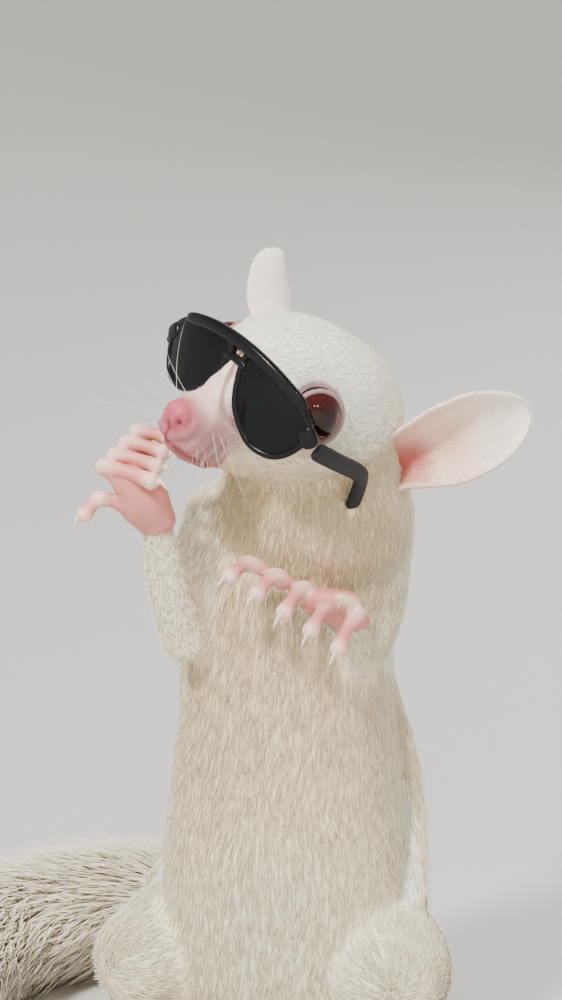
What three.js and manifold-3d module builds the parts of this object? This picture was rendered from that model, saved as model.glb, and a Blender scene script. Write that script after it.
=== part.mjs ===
// Sugar glider, life size, sitting up on its haunches with doll-size aviator sunglasses on its muzzle.
// Millimetres, +Z up. The animal faces -Y, its left is +X, and the rump rests round the origin on the floor z = 0.
import * as THREE from "three";
import { mergeVertices } from "three/addons/utils/BufferGeometryUtils.js";
import Module from "manifold-3d";

const wasm = await Module();
wasm.setup();

const V = (x, y, z) => new THREE.Vector3(x, y, z);
const RAD = Math.PI / 180;

// Driving dimensions
const GAP = 0.3; // clearance between touching pieces
const SINK = 0.5; // how far a resting form is let into the floor before it is trimmed flat
const HEAD_AT = V(7, -22, 112); // point midway between the eyes
const HEAD_YAW = 20.5 * RAD; // turned to its own right
const HEAD_ROLL = 35.5 * RAD; // left ear down
const EYE_RADIUS = 4.3;
const LID_THICKNESS = 0.85;
const EAR_LENGTH = 20.5;
const EAR_HALF_WIDTH = 7.7;
const EAR_WALL = 0.9;
const DIGIT_RADIUS = 1.28;
const LENS_CURVE = 38; // radius of the wrapped front of the sunglasses
const LENS_WALL = 0.7;
const RIM_HALF_WIDTH = 0.75;
const TAIL_PIECES = 5;

// Finishes
const finish = (color, roughness) => new THREE.MeshStandardMaterial({ color, roughness, metalness: 0 });
const CREAM_FUR = finish(0xf3efd9, 0.9);
const PINK_SKIN = finish(0xe3a79c, 0.55);
const EAR_SKIN = finish(0xe8c9b8, 0.6);
const EYE_RUBY = finish(0x3c1512, 0.08);
const BLACK_PLASTIC = finish(0x0a0c0e, 0.18);
const TEMPLE_GREY = finish(0x2b2c2e, 0.5);
const DARK_LENS = finish(0x07090b, 0.06);

// A closed geometry becomes a manifold whose faces point outwards, and a manifold a geometry again.
function solid(geometry) {
  const bare = geometry.clone();
  bare.deleteAttribute("normal");
  bare.deleteAttribute("uv");
  const merged = mergeVertices(bare, 1e-4);
  const vertProperties = new Float32Array(merged.attributes.position.array);
  const triVerts = new Uint32Array(merged.index.array);
  const made = new wasm.Manifold(new wasm.Mesh({ numProp: 3, vertProperties, triVerts }));
  if (made.volume() > 0) return made;
  return new wasm.Manifold(new wasm.Mesh({ numProp: 3, vertProperties, triVerts: triVerts.reverse() }));
}

function geometryOf(made) {
  const mesh = made.getMesh();
  const geometry = new THREE.BufferGeometry();
  geometry.setAttribute("position", new THREE.BufferAttribute(mesh.vertProperties.slice(), 3));
  geometry.setIndex(new THREE.BufferAttribute(mesh.triVerts.slice(), 1));
  geometry.computeVertexNormals();
  return geometry;
}

const union = (pieces) => wasm.Manifold.union(pieces);
const largest = (made) => made.decompose().sort((a, b) => b.volume() - a.volume())[0];

// A grid of quads between rows of points, each split the same way.
function quads(rows, columns, at, wrapRows, wrapColumns) {
  const index = [];
  for (let k = 0; k < rows - (wrapRows ? 0 : 1); k++) {
    for (let i = 0; i < columns - (wrapColumns ? 0 : 1); i++) {
      const a = at(k, i);
      const b = at(k, (i + 1) % columns);
      const c = at((k + 1) % rows, i);
      const d = at((k + 1) % rows, (i + 1) % columns);
      index.push(a, b, c, b, d, c);
    }
  }
  return index;
}

const indexed = (points, index) => {
  const geometry = new THREE.BufferGeometry().setFromPoints(points);
  geometry.setIndex(index);
  return solid(geometry);
};

// A closed surface through rings of equal point counts, with a pole at each end.
function skinOf(rings, startPole, endPole) {
  const sides = rings[0].length;
  const points = [startPole, ...rings.flat(), endPole];
  const index = quads(rings.length, sides, (k, i) => 1 + k * sides + i, false, true);
  const top = 1 + (rings.length - 1) * sides;
  for (let i = 0; i < sides; i++) {
    const j = (i + 1) % sides;
    index.push(0, 1 + j, 1 + i, top + i, top + j, points.length - 1);
  }
  return indexed(points, index);
}

// A ring of equal closed sections, joined end to end.
function hoop(sections) {
  const sides = sections[0].length;
  const index = quads(sections.length, sides, (k, i) => k * sides + i, true, true);
  return indexed(sections.flat(), index);
}

// A thin wall between two grids of points, split alike on both faces.
function wall(outer, inner) {
  const rows = outer.length;
  const columns = outer[0].length;
  const size = rows * columns;
  const points = [...outer.flat(), ...inner.flat()];
  const front = quads(rows, columns, (k, i) => k * columns + i, false, false);
  const back = [];
  for (let i = 0; i < front.length; i += 3) back.push(size + front[i], size + front[i + 2], size + front[i + 1]);
  const rimLoop = [
    ...Array.from({ length: columns - 1 }, (_, i) => i),
    ...Array.from({ length: rows - 1 }, (_, k) => k * columns + columns - 1),
    ...Array.from({ length: columns - 1 }, (_, i) => size - 1 - i),
    ...Array.from({ length: rows - 1 }, (_, k) => (rows - 1 - k) * columns),
  ];
  const edge = [];
  rimLoop.forEach((a, n) => {
    const b = rimLoop[(n + 1) % rimLoop.length];
    edge.push(b, a, size + a, b, size + a, size + b);
  });
  return indexed(points, [...front, ...back, ...edge]);
}

// Stations are [x, y, z, half width, half depth in front, half depth behind]; the width runs along side, and the
// front is square to it and to the path. Each end is rounded off by a share of its half width.
function loft(stations, { side = V(1, 0, 0), sides = 16, steps = 12, round = [0.8, 0.8], grow = 0 } = {}) {
  const spine = new THREE.CatmullRomCurve3(stations.map((s) => V(s[0], s[1], s[2])), false, "centripetal");
  const sizes = new THREE.CatmullRomCurve3(stations.map((s) => V(s[3], s[4] ?? s[3], s[5] ?? s[4] ?? s[3])));
  const capRings = sides > 20 ? 3 : sides > 8 ? 2 : 1;
  const ringAt = (t, shift, shrink) => {
    const tangent = spine.getTangent(t);
    const across = side.clone().addScaledVector(tangent, -side.dot(tangent)).normalize();
    const front = V().crossVectors(across, tangent).normalize();
    const size = sizes.getPoint(t);
    const centre = spine.getPoint(t).addScaledVector(tangent, shift);
    return Array.from({ length: sides }, (_, i) => {
      const angle = (2 * Math.PI * i) / sides;
      const depth = Math.sin(angle) > 0 ? size.y : size.z;
      return centre
        .clone()
        .addScaledVector(across, Math.cos(angle) * (size.x + grow) * shrink)
        .addScaledVector(front, Math.sin(angle) * (depth + grow) * shrink);
    });
  };
  const reach = (t, share) => (sizes.getPoint(t).x + grow) * share;
  const rings = [];
  for (let i = capRings; i > 0; i--) {
    const angle = (i / (capRings + 1)) * (Math.PI / 2);
    rings.push(ringAt(0, -Math.sin(angle) * reach(0, round[0]), Math.cos(angle)));
  }
  for (let i = 0; i <= steps; i++) rings.push(ringAt(i / steps, 0, 1));
  for (let i = 1; i <= capRings; i++) {
    const angle = (i / (capRings + 1)) * (Math.PI / 2);
    rings.push(ringAt(1, Math.sin(angle) * reach(1, round[1]), Math.cos(angle)));
  }
  const pole = (t, sign, share) => spine.getPoint(t).addScaledVector(spine.getTangent(t), sign * reach(t, share));
  return skinOf(rings, pole(0, -1, round[0]), pole(1, 1, round[1]));
}

// The head's own frame: x forward, y to its left, z up.
const forward = V(-Math.sin(HEAD_YAW), -Math.cos(HEAD_YAW), 0);
const levelLeft = V(Math.cos(HEAD_YAW), -Math.sin(HEAD_YAW), 0);
const left = levelLeft.clone().multiplyScalar(Math.cos(HEAD_ROLL)).addScaledVector(V(0, 0, 1), -Math.sin(HEAD_ROLL));
const up = V(0, 0, Math.cos(HEAD_ROLL)).addScaledVector(levelLeft, Math.sin(HEAD_ROLL));
const HEAD = new THREE.Matrix4().makeBasis(forward, left, up).setPosition(HEAD_AT);
const inHead = (made) => made.transform(HEAD.elements);

// Head sections along its x axis: x, half width, top, bottom.
const HEAD_SECTIONS = [
  [-21, 8.5, 1.8, -9.5],
  [-16.5, 12, 6.8, -12.5],
  [-10, 14.3, 9.3, -14],
  [-3, 14.4, 10.7, -14.8],
  [3, 12.4, 9.9, -15.2],
  [8, 8.4, 7, -15.2],
  [12.5, 5.3, 2.2, -14],
  [16, 4.3, -0.6, -11.9],
  [18.6, 3.5, -2.1, -9],
];

function headForm(grow) {
  const stations = HEAD_SECTIONS.map(([x, width, top, bottom]) => {
    const waist = (top + bottom) / 2;
    return [x, 0, waist, width, top - waist, waist - bottom];
  });
  return inHead(loft(stations, { side: V(0, -1, 0), sides: 20, steps: 14, round: [0.5, 0.4], grow }));
}

const ball = (radius, at, detail = 16) =>
  solid(new THREE.SphereGeometry(radius, detail, detail / 2)).translate([at.x, at.y, at.z]);

const eyeAt = (sign) => (sign > 0 ? V(3.8, 9.1, 1.9) : V(4.4, -8.3, 0.7));
const eyeForm = (sign) => (grow) => inHead(ball(EYE_RADIUS + grow, eyeAt(sign), 14));

// A ring of lid round the eye's opening, which looks outwards, a little forwards and up.
function lids(sign) {
  const look = V(0.42, 0.87 * sign, 0.24).normalize();
  const ring = new THREE.TorusGeometry(EYE_RADIUS - 0.55, LID_THICKNESS, 5, 12);
  ring.applyQuaternion(new THREE.Quaternion().setFromUnitVectors(V(0, 0, 1), look));
  return inHead(solid(ring).translate(eyeAt(sign).addScaledVector(look, EYE_RADIUS / 2).toArray()));
}

// The bare nose: a bulb at the tip of the muzzle with a nostril on each side.
const nostril = (sign) => ball(0.7, V(20.6, 1.6 * sign, -5.4), 8);
const noseForm = (grow) =>
  inHead(
    loft([[17.6, 0, -4.6, 2.5, 2], [19.6, 0, -4.8, 2.4, 2.1]], {
      side: V(0, -1, 0),
      sides: 12,
      steps: 2,
      round: [0.3, 0.6],
      grow,
    }),
  );

// The gape: a slot between the lips, wider and more open towards the front.
const mouth = () =>
  inHead(
    loft([[9, 0, -11.9, 9, 0.4], [17, 0, -9.9, 5, 0.9]], { side: V(0, 1, 0), sides: 8, steps: 2, round: [0.1, 0.6] }),
  );

// An ear is a curled leaf: an arc across its axis whose edges turn towards its opening.
function earForm({ at, along, open }) {
  const ROWS = 9;
  const COLUMNS = 8;
  const axis = along.clone().normalize();
  const face = open.clone().addScaledVector(axis, -open.dot(axis)).normalize();
  const side = V().crossVectors(axis, face);
  const arcs = (offset) =>
    Array.from({ length: ROWS + 1 }, (_, k) => {
      const t = k / ROWS;
      const taper = Math.sqrt(Math.max(1 - Math.max((t - 0.35) / 0.665, 0) ** 2.2, 0.004));
      const half = EAR_HALF_WIDTH * (0.8 + 0.2 * Math.min(t / 0.35, 1)) * taper;
      const curl = 1.5 - 0.65 * Math.min(t / 0.7, 1);
      const radius = half / curl;
      const centre = at.clone().addScaledVector(axis, t * EAR_LENGTH).addScaledVector(face, radius - 2.2 * t * t);
      return Array.from({ length: COLUMNS + 1 }, (_, i) => {
        const angle = (i / COLUMNS - 0.5) * 2 * curl;
        return centre
          .clone()
          .addScaledVector(side, (radius + offset) * Math.sin(angle))
          .addScaledVector(face, -(radius + offset) * Math.cos(angle));
      });
    });
  return (grow) => inHead(wall(arcs(EAR_WALL / 2 + grow), arcs(-EAR_WALL / 2 - grow)));
}

const LEFT_EAR = { at: V(-16.5, 13, -3), along: V(-0.36, 0.52, 0.74), open: V(0.75, 0.62, 0.1) };
const RIGHT_EAR = { at: V(-15.5, -12.5, -1), along: V(-0.35, -0.87, 0.25), open: V(0.5, 0.1, -0.8) };

// Trunk, from the rump up, and the neck that joins it to the back of the head.
const TORSO = [
  [0, 1, 6, 16, 14, 15],
  [0, 0, 18, 20, 18, 18],
  [0, -1, 34, 20.5, 19, 18],
  [0.5, -2, 54, 18.5, 18, 17],
  [2, -4, 72, 16.5, 16.5, 16],
  [4, -6, 85, 15.5, 15, 15.5],
  [4.8, -6.4, 89, 13, 12.5, 13],
];
const torsoForm = (grow) => loft(TORSO, { sides: 18, steps: 11, round: [0.44, 0.5], grow });

const NECK = [
  [4.4, -6, 82, 12.6, 12, 12.6],
  [6.6, -7.6, 91, 16.4, 15.4, 15],
  [8.5, -9.5, 101, 14, 14, 12.5],
  [9.5, -11, 107, 11.5, 11.5, 10.5],
];
const neckForm = (grow) => loft(NECK, { sides: 18, steps: 5, grow });

// Limbs from the body outwards. The arms differ, and the hind legs are mirrored.
const limb = (stations, side = V(1, 0, 0)) => (grow) => loft(stations, { side, sides: 8, steps: 5, grow });
const mirrored = (stations, sign) => stations.map(([x, ...rest]) => [x * sign, ...rest]);
const THIGH = [[11, 3, 17.5, 14, 13], [17, -5, 21, 12.5, 12], [20.5, -13, 21.5, 8.5, 8.5]];
const SHIN = [[21, -13, 19, 6, 6], [21, -8.5, 11.5, 5.2, 5], [20.5, -3, 5, 4, 3.8]];
const LIMBS = {
  upper_arm_left: limb([[14.5, -3, 88, 7.2, 7], [14.6, -4.5, 78, 6.3, 6.2], [13, -5, 69.5, 4.8, 5]]),
  upper_arm_right: limb([[-6, -10, 91.5, 8, 7.8], [-8.8, -15, 82, 6.5, 6.3], [-9.6, -18, 74, 4.8, 4.8]]),
  forearm_left: limb([[13, -6, 68.5, 4.5, 4.4], [14.5, -11.5, 71.5, 3.8, 3.7], [15.5, -17, 77, 2.8, 2.4]]),
  forearm_right: limb([[-9.6, -19, 73.5, 4.4, 4.4], [-10, -25, 82, 3.8, 3.6], [-9.8, -30, 92, 2.8, 2.4]]),
  thigh_left: limb(mirrored(THIGH, 1), V(0, 0, 1)),
  thigh_right: limb(mirrored(THIGH, -1), V(0, 0, 1)),
  shin_left: limb(mirrored(SHIN, 1)),
  shin_right: limb(mirrored(SHIN, -1)),
};

// A hand or foot: a palm and five digits in a fan, each with a padded tip and a hooked claw.
// Bases, knuckles and tips lie on straight lines between the first digit's and the last one's.
function paw({ palm, bases, knuckles, tips, hook, thumb, bare = -1 }) {
  const COUNT = 5;
  const between = ([a, b], i) => a.clone().lerp(b, i / (COUNT - 1));
  return (grow) => {
    const pieces = [loft(palm, { sides: 8, steps: 3, grow })];
    for (let i = 0; i < COUNT; i++) {
      const joints = i === 0 && thumb ? thumb : [bases, knuckles, tips].map((line) => between(line, i));
      const [base, knuckle, tip] = joints.map((joint) => joint.toArray());
      const radius = DIGIT_RADIUS;
      const stations = [[...base, radius * 1.1], [...knuckle, radius], [...tip, radius * 1.1]];
      pieces.push(loft(stations, { sides: 6, steps: 3, round: [0.8, 1], grow }));
      if (i === bare) continue;
      const aim = V(...tip).sub(V(...knuckle)).normalize();
      const start = V(...tip).addScaledVector(aim, 0.4);
      const bend = start.clone().addScaledVector(aim, 1).add(V(0, 0, 0.3));
      const point = bend.clone().addScaledVector(aim, 0.5).addScaledVector(hook, 0.7);
      const claw = [[...start.toArray(), 0.7], [...bend.toArray(), 0.5], [...point.toArray(), 0.2]];
      pieces.push(loft(claw, { sides: 4, steps: 2, round: [0.4, 0.6], grow }));
    }
    return union(pieces);
  };
}

// The left hand rests knuckles up on a support that is left out; the right one is curled before the mouth.
const HAND_LEFT = {
  palm: [[15.5, -17, 77.5, 2.9, 2.2], [14.8, -19.5, 79.8, 4.2, 2.4], [13.6, -22, 80.6, 4.8, 2]],
  bases: [V(7.6, -23.4, 83.4), V(18.2, -19, 77.6)],
  knuckles: [V(3.6, -27.4, 86.4), V(18.4, -22.1, 79)],
  tips: [V(2.2, -31.4, 84.8), V(17.1, -26.6, 74.4)],
  hook: V(-0.4, -0.4, -1.2),
};
const HAND_RIGHT = {
  palm: [[-9.8, -30, 92.5, 3.1, 2.6], [-11.2, -31.6, 95.5, 4, 3.6], [-12.4, -32.2, 99, 2.8, 4.2]],
  bases: [V(-13.7, -36.8, 96.3), V(-11, -28.8, 101.6)],
  knuckles: [V(-16.4, -38.2, 99), V(-13.1, -29.5, 105.5)],
  tips: [V(-7.9, -38.2, 96.6), V(-7.9, -29.5, 104.5)],
  thumb: [V(-13.4, -33.6, 95), V(-16.4, -35.4, 95.8), V(-18.4, -36.4, 93.6)],
  hook: V(0.2, 0, -1.2),
};
const foot = (sign) => ({
  palm: mirrored([[20.5, -1, 2.4, 3.4, 2.8], [21, -9, 2.1, 4.2, 2.5], [21.5, -16, 1.9, 4.6, 2.2]], sign),
  bases: [V(17.6 * sign, -15, 1.7), V(25.4 * sign, -14, 1.7)],
  knuckles: [V(15.4 * sign, -18.5, 2.5), V(27.8 * sign, -18, 2.4)],
  tips: [V(14 * sign, -22.5, DIGIT_RADIUS - 0.1), V(31.5 * sign, -22, DIGIT_RADIUS - 0.1)],
  hook: V(0, 0, -0.6),
  bare: 0,
});

// The gliding membrane, a slack rippled fold along each flank from elbow to knee.
const FLANK = {
  left: [V(14.5, 0, 66), V(15.5, 4, 54), V(17.5, 4, 42), V(20, -2, 31)],
  right: [V(-11, -10, 71), V(-13.5, 0, 58), V(-17, 4, 44), V(-20, -2, 31)],
};
const membraneForm = (name) => (grow) => {
  const STATIONS = 9;
  const RIPPLES = 2;
  const path = new THREE.CatmullRomCurve3(FLANK[name]);
  const stations = Array.from({ length: STATIONS }, (_, k) => {
    const t = k / (STATIONS - 1);
    const p = path.getPoint(t);
    const slack = Math.sin(t * RIPPLES * 2 * Math.PI);
    return [p.x, p.y + 0.8 * slack, p.z, 4.2 + 1.6 * Math.sin(t * Math.PI) + 0.3 * slack, 1.9];
  });
  return loft(stations, { sides: 8, steps: 10, round: [0.5, 0.5], grow });
};

// The tail is laid on the floor round the animal's right side. Each point is x, y, radius.
const TAIL = [
  [0, 12, 8.5],
  [-3, 25, 9.5],
  [-14, 41, 11.5],
  [-34, 49, 12.5],
  [-53, 41, 12.8],
  [-63, 22, 12.5],
  [-63, -1, 11.5],
  [-55, -20, 9.5],
  [-43, -34, 6],
];
const tailLine = new THREE.CatmullRomCurve3(TAIL.map(([x, y, radius]) => V(x, y, radius - SINK)));
const tailRadius = new THREE.CatmullRomCurve3(TAIL.map(([, , radius]) => V(radius, 0, 0)));
const TAIL_LENGTH = tailLine.getLength();
const CORE_SHARE = 0.48; // of the tail's radius; the long hair makes the rest
const LOCK_ROWS = 3; // in each length of the tail
const LOCKS_ROUND = [4, 5, 5, 4, 4]; // in each row, fewer where the tail is slim
const LOCK_LENGTH = 21;

// How a lock of hair grows, from its root in the core to just short of its tip: the share of its length, the
// radii of its edges and of its ridge as shares of the tail's, and how much of its place in the row it fills.
const LOCK_SECTIONS = [
  { way: 0, edge: 0.3, ridge: 0.42, fill: 0.64 },
  { way: 0.36, edge: 0.6, ridge: 0.86, fill: 0.9 },
  { way: 0.72, edge: 0.84, ridge: 1.02, fill: 0.67 },
];

// The tail's middle, radius and cross directions at t, which may run past its end.
function tailAt(t) {
  const inside = Math.min(t, 1);
  const along = tailLine.getTangent(inside);
  const across = V(0, 0, 1).addScaledVector(along, -along.z).normalize();
  return {
    middle: tailLine.getPoint(inside).addScaledVector(along, (t - inside) * TAIL_LENGTH),
    radius: tailRadius.getPoint(inside).x * (1 - 2.5 * (t - inside)),
    along,
    across,
    front: V().crossVectors(across, along),
  };
}

// A flat tapered lock that lies back towards the tip of the tail. Locks differ a little by their number.
function tailLock(start, angle, halfPlace, number, grow) {
  const vary = Math.sin(number * 2.4);
  const turned = angle + 0.06 * vary;
  const length = LOCK_LENGTH * (1 + 0.1 * Math.sin(number * 4.1));
  const around = ({ middle, across, front }, turn, reach) =>
    middle
      .clone()
      .addScaledVector(across, Math.cos(turn) * reach)
      .addScaledVector(front, Math.sin(turn) * reach);
  const rings = LOCK_SECTIONS.map(({ way, edge, ridge, fill }) => {
    const place = tailAt(start + (way * length) / TAIL_LENGTH);
    const reach = place.radius * edge - 1.5 * grow;
    const half = fill * halfPlace + (3 * grow) / place.radius;
    return [
      around(place, turned - half, reach),
      around(place, turned, place.radius * ridge + 2 * grow),
      around(place, turned + half, reach),
    ];
  });
  const root = rings[0].reduce((sum, p) => sum.addScaledVector(p, 1 / 3), V(0, 0, 0));
  const end = tailAt(start + (length + 3 * grow) / TAIL_LENGTH);
  return skinOf(rings, root, around(end, turned + 0.08 * vary, end.radius));
}

const tailForm = (piece) => (grow) => {
  const STATIONS = 3;
  const stations = Array.from({ length: STATIONS }, (_, k) => {
    const { middle, radius } = tailAt((piece + k / (STATIONS - 1)) / TAIL_PIECES);
    return [...middle.toArray(), CORE_SHARE * radius];
  });
  const last = piece === TAIL_PIECES - 1;
  const core = loft(stations, { side: V(0, 0, 1), sides: 6, steps: 2, round: [0.35, last ? 1.6 : 0.35], grow });
  const count = LOCKS_ROUND[piece];
  const locks = Array.from({ length: LOCK_ROWS * count }, (_, n) => {
    const row = piece * LOCK_ROWS + Math.floor(n / count);
    const start = (row + 0.2) / LOCK_ROWS / TAIL_PIECES;
    const angle = (2 * Math.PI * (n + 0.5 + (row % 2) / 2)) / count;
    return tailLock(start, angle, Math.PI / count, row * count + n, grow);
  });
  return union([core, ...locks]);
};

// Sunglasses, in the head's frame: a moulded front wrapped on a cylinder about the z axis, s being the way round.
// They sit a little askew on the muzzle, the left side high.
const WORN_AT = V(-0.7, 0, 1.3);
const WORN_ROLL = 4.2 * RAD;
const worn = (x, y, z) => V(x, y, z).applyAxisAngle(V(1, 0, 0), WORN_ROLL).add(WORN_AT);
const WRAP_CENTRE_X = -24.3;
const barHeight = (s) => 5.8 - 0.017 * s * s;
const BRIDGE_HEIGHT = 3.3;
const wrap = (s, z, lift) => {
  const radius = LENS_CURVE + lift;
  return worn(WRAP_CENTRE_X + radius * Math.cos(s / LENS_CURVE), radius * Math.sin(s / LENS_CURVE), z);
};
const LENS_OUTLINE = [
  [1.6, 4.8],
  [5.5, 5.1],
  [9.2, 4.3],
  [12.8, 2.7],
  [15.1, 0.1],
  [14, -3.3],
  [11.6, -5.6],
  [8.2, -6],
  [5.5, -4.6],
  [3.1, -2.3],
  [1.9, 0.6],
];
const OUTLINE_STEPS = 20;
const lensCentre = (sign) => V(8.2 * sign, 0, 0);
const lensOutline = (sign) => {
  const points = LENS_OUTLINE.map(([s, z]) => V(s * sign, z, 0));
  return new THREE.CatmullRomCurve3(points, true, "catmullrom", 0.6).getPoints(OUTLINE_STEPS).slice(0, OUTLINE_STEPS);
};

// A lens fills its rim but for the gap.
const lensForm = (sign) => (grow) => {
  const ring = (share, lift) =>
    lensOutline(sign).map((p) => {
      const inset = p.clone().sub(lensCentre(sign)).normalize().multiplyScalar(RIM_HALF_WIDTH + GAP - grow);
      const q = lensCentre(sign).lerp(p.clone().sub(inset), share);
      return wrap(q.x, q.y, lift);
    });
  const half = LENS_WALL / 2 + grow;
  const rings = [ring(0.5, -half), ring(1, -half), ring(1, half), ring(0.5, half)];
  const { x, y } = lensCentre(sign);
  return inHead(skinOf(rings, wrap(x, y, -half), wrap(x, y, half)));
};

// A bar of oval section along points of the head's frame.
const bar = (points, tall, thick, grow, steps) =>
  inHead(
    loft(points.map((p) => [p.x, p.y, p.z, tall, thick]), {
      side: V(0, 0, 1),
      sides: 8,
      steps,
      round: [0.5, 0.5],
      grow,
    }),
  );

function rim(sign, grow) {
  const SIDES = 6;
  const sections = lensOutline(sign).map((p) => {
    const out = p.clone().sub(lensCentre(sign)).normalize();
    return Array.from({ length: SIDES }, (_, i) => {
      const angle = (2 * Math.PI * (i + 0.5)) / SIDES;
      const q = p.clone().addScaledVector(out, Math.cos(angle) * (RIM_HALF_WIDTH + grow));
      return wrap(q.x, q.y, Math.sin(angle) * (0.95 + grow));
    });
  });
  return inHead(hoop(sections));
}

function frontForm(grow) {
  const top = [-13, -6.5, 0, 6.5, 13].map((s) => wrap(s, barHeight(s), 0));
  const bridge = [-2.2, 0, 2.2].map((s) => wrap(s, BRIDGE_HEIGHT, 0));
  const corner = (sign) => [wrap(14.2 * sign, 0.4, 0), wrap(16.2 * sign, -1.5, -0.3)];
  return union([
    rim(1, grow),
    rim(-1, grow),
    bar(top, 0.95, 0.95, grow, 10),
    bar(bridge, 0.8, 0.8, grow, 4),
    bar(corner(1), 1.4, 1, grow, 3),
    bar(corner(-1), 1.4, 1, grow, 3),
  ]);
}

const templeForm = (sign) => (grow) => {
  const path = [[9.8, 16.2, -1.8], [4.2, 16.5, -3.6], [-2.2, 16.4, -5.7], [-4.2, 16.2, -7.8], [-5.3, 16, -12.2]];
  return bar(path.map(([x, y, z]) => worn(x, y * sign, z)), 1.2, 0.6, grow, 8);
};

// Assembly. A piece keeps its full form where it is placed early, and is cut clear by the gap of those before it.
const FLOOR_SIZE = 400;
const floor = solid(new THREE.BoxGeometry(FLOOR_SIZE, FLOOR_SIZE, FLOOR_SIZE)).translate([0, 0, -FLOOR_SIZE / 2]);
const taken = [];
const glider = new THREE.Group();
glider.name = "sugar_glider";

function place(name, material, form, trim = (made) => made) {
  const rest = taken.reduce((made, other) => made.subtract(other), trim(form(0)).subtract(floor));
  taken.push(form(GAP));
  const mesh = new THREE.Mesh(geometryOf(largest(rest)), material);
  mesh.name = name;
  glider.add(mesh);
}

const SIDES_OF_BODY = [["left", 1], ["right", -1]];
place("glasses_front", BLACK_PLASTIC, frontForm);
for (const [side, sign] of SIDES_OF_BODY) {
  place("lens_" + side, DARK_LENS, lensForm(sign));
  place("temple_" + side, TEMPLE_GREY, templeForm(sign));
  place("eye_" + side, EYE_RUBY, eyeForm(sign));
}
place("nose", PINK_SKIN, noseForm, (made) => made.subtract(inHead(nostril(1))).subtract(inHead(nostril(-1))));
place("head", CREAM_FUR, headForm, (made) => union([made, lids(1), lids(-1)]).subtract(mouth()));
place("ear_left", EAR_SKIN, earForm(LEFT_EAR));
place("ear_right", EAR_SKIN, earForm(RIGHT_EAR));
for (const [side, sign] of SIDES_OF_BODY) {
  place("upper_arm_" + side, CREAM_FUR, LIMBS["upper_arm_" + side]);
  place("forearm_" + side, CREAM_FUR, LIMBS["forearm_" + side]);
  place("hand_" + side, PINK_SKIN, paw(sign > 0 ? HAND_LEFT : HAND_RIGHT));
  place("thigh_" + side, CREAM_FUR, LIMBS["thigh_" + side]);
  place("shin_" + side, CREAM_FUR, LIMBS["shin_" + side]);
  place("foot_" + side, PINK_SKIN, paw(foot(sign)));
}
place("torso", CREAM_FUR, torsoForm);
place("neck", CREAM_FUR, neckForm);
for (const [side] of SIDES_OF_BODY) place("membrane_" + side, CREAM_FUR, membraneForm(side));
for (let piece = 0; piece < TAIL_PIECES; piece++) place("tail_" + (piece + 1), CREAM_FUR, tailForm(piece));

export default glider;
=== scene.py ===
"""A sugar glider in sunglasses: skin, coat, eyes, claws, whiskers and eyewear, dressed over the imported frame.

Shapes are worked out in millimetres, the unit of the solids, and go into the meshes in metres.
"""

import logging
import math
from dataclasses import dataclass, field, replace
from enum import Enum
from typing import Any

import bpy
import numpy as np
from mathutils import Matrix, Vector


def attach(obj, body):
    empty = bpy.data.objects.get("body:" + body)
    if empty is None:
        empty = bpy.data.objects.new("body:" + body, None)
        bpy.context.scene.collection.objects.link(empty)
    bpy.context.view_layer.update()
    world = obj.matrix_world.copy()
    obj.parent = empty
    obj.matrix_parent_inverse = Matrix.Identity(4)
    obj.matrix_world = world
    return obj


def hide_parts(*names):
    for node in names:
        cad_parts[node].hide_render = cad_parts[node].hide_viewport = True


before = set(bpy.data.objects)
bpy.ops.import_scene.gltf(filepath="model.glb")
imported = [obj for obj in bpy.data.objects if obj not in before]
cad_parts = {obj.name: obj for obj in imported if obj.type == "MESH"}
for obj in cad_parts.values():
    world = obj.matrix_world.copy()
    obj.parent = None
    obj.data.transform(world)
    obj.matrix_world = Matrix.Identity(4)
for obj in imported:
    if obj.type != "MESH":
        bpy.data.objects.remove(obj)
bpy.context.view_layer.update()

log = logging.getLogger("glider")
Array = np.ndarray
Colour = tuple[float, float, float]
Triple = tuple[float, float, float]
Mesh = bpy.types.Mesh
Material = bpy.types.Material
MM = 0.001
SEED = 7
SIDES = (("left", 1), ("right", -1))
EYE_MIDDLE = np.array([7.0, -22.0, 112.0])
HEAD_YAW = math.radians(20.5)
HEAD_ROLL = math.radians(35.5)
EYE_RADIUS = 4.3
EYE_PLACES = {1: np.array([3.8, 9.1, 1.9]), -1: np.array([4.4, -8.3, 0.7])}
EYE_LOOK = np.array([0.42, 0.87, 0.24])
LID_RADIUS = 0.48
LID_OVERLAP = 0.35
LID_FORWARD = 0.46
DIGIT_RADIUS = 1.28
DIGITS = 5
SKIN_FLOOR = 0.05
DETAIL_FLOOR = 0.02
ASKEW = np.array([0.31, 0.2, 0.93])


def unit(vectors: Array) -> Array:
    """Each row divided by its length."""
    return vectors / np.maximum(np.linalg.norm(vectors, axis=-1, keepdims=True), 1e-9)


def smoothstep(low: float, high: float, values: Array) -> Array:
    """0 below low, 1 above high and 3 u² - 2 u³ between them."""
    u = np.clip((values - low) / (high - low), 0, 1)
    return u * u * (3 - 2 * u)


def bell(values: Array, width: float) -> Array:
    """The bell exp(-(v / width)²)."""
    return np.exp(-((values / width) ** 2))


def full_turn(count: int) -> Array:
    """Angles spread evenly round a circle."""
    return np.linspace(0, 2 * math.pi, count, endpoint=False)


def distance(points: Array, place_of: Array | Triple) -> Array:
    """How far each row is from one place."""
    return np.linalg.norm(points - np.asarray(place_of), axis=1)


def squared_off(angle: Array, power: float) -> tuple[Array, Array]:
    """The cosine and sine of angles, raised to a power below 1 so that a round section gets flatter sides."""
    wide, deep = (np.sign(v) * np.abs(v) ** power for v in (np.cos(angle), np.sin(angle)))
    return wide, deep


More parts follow.
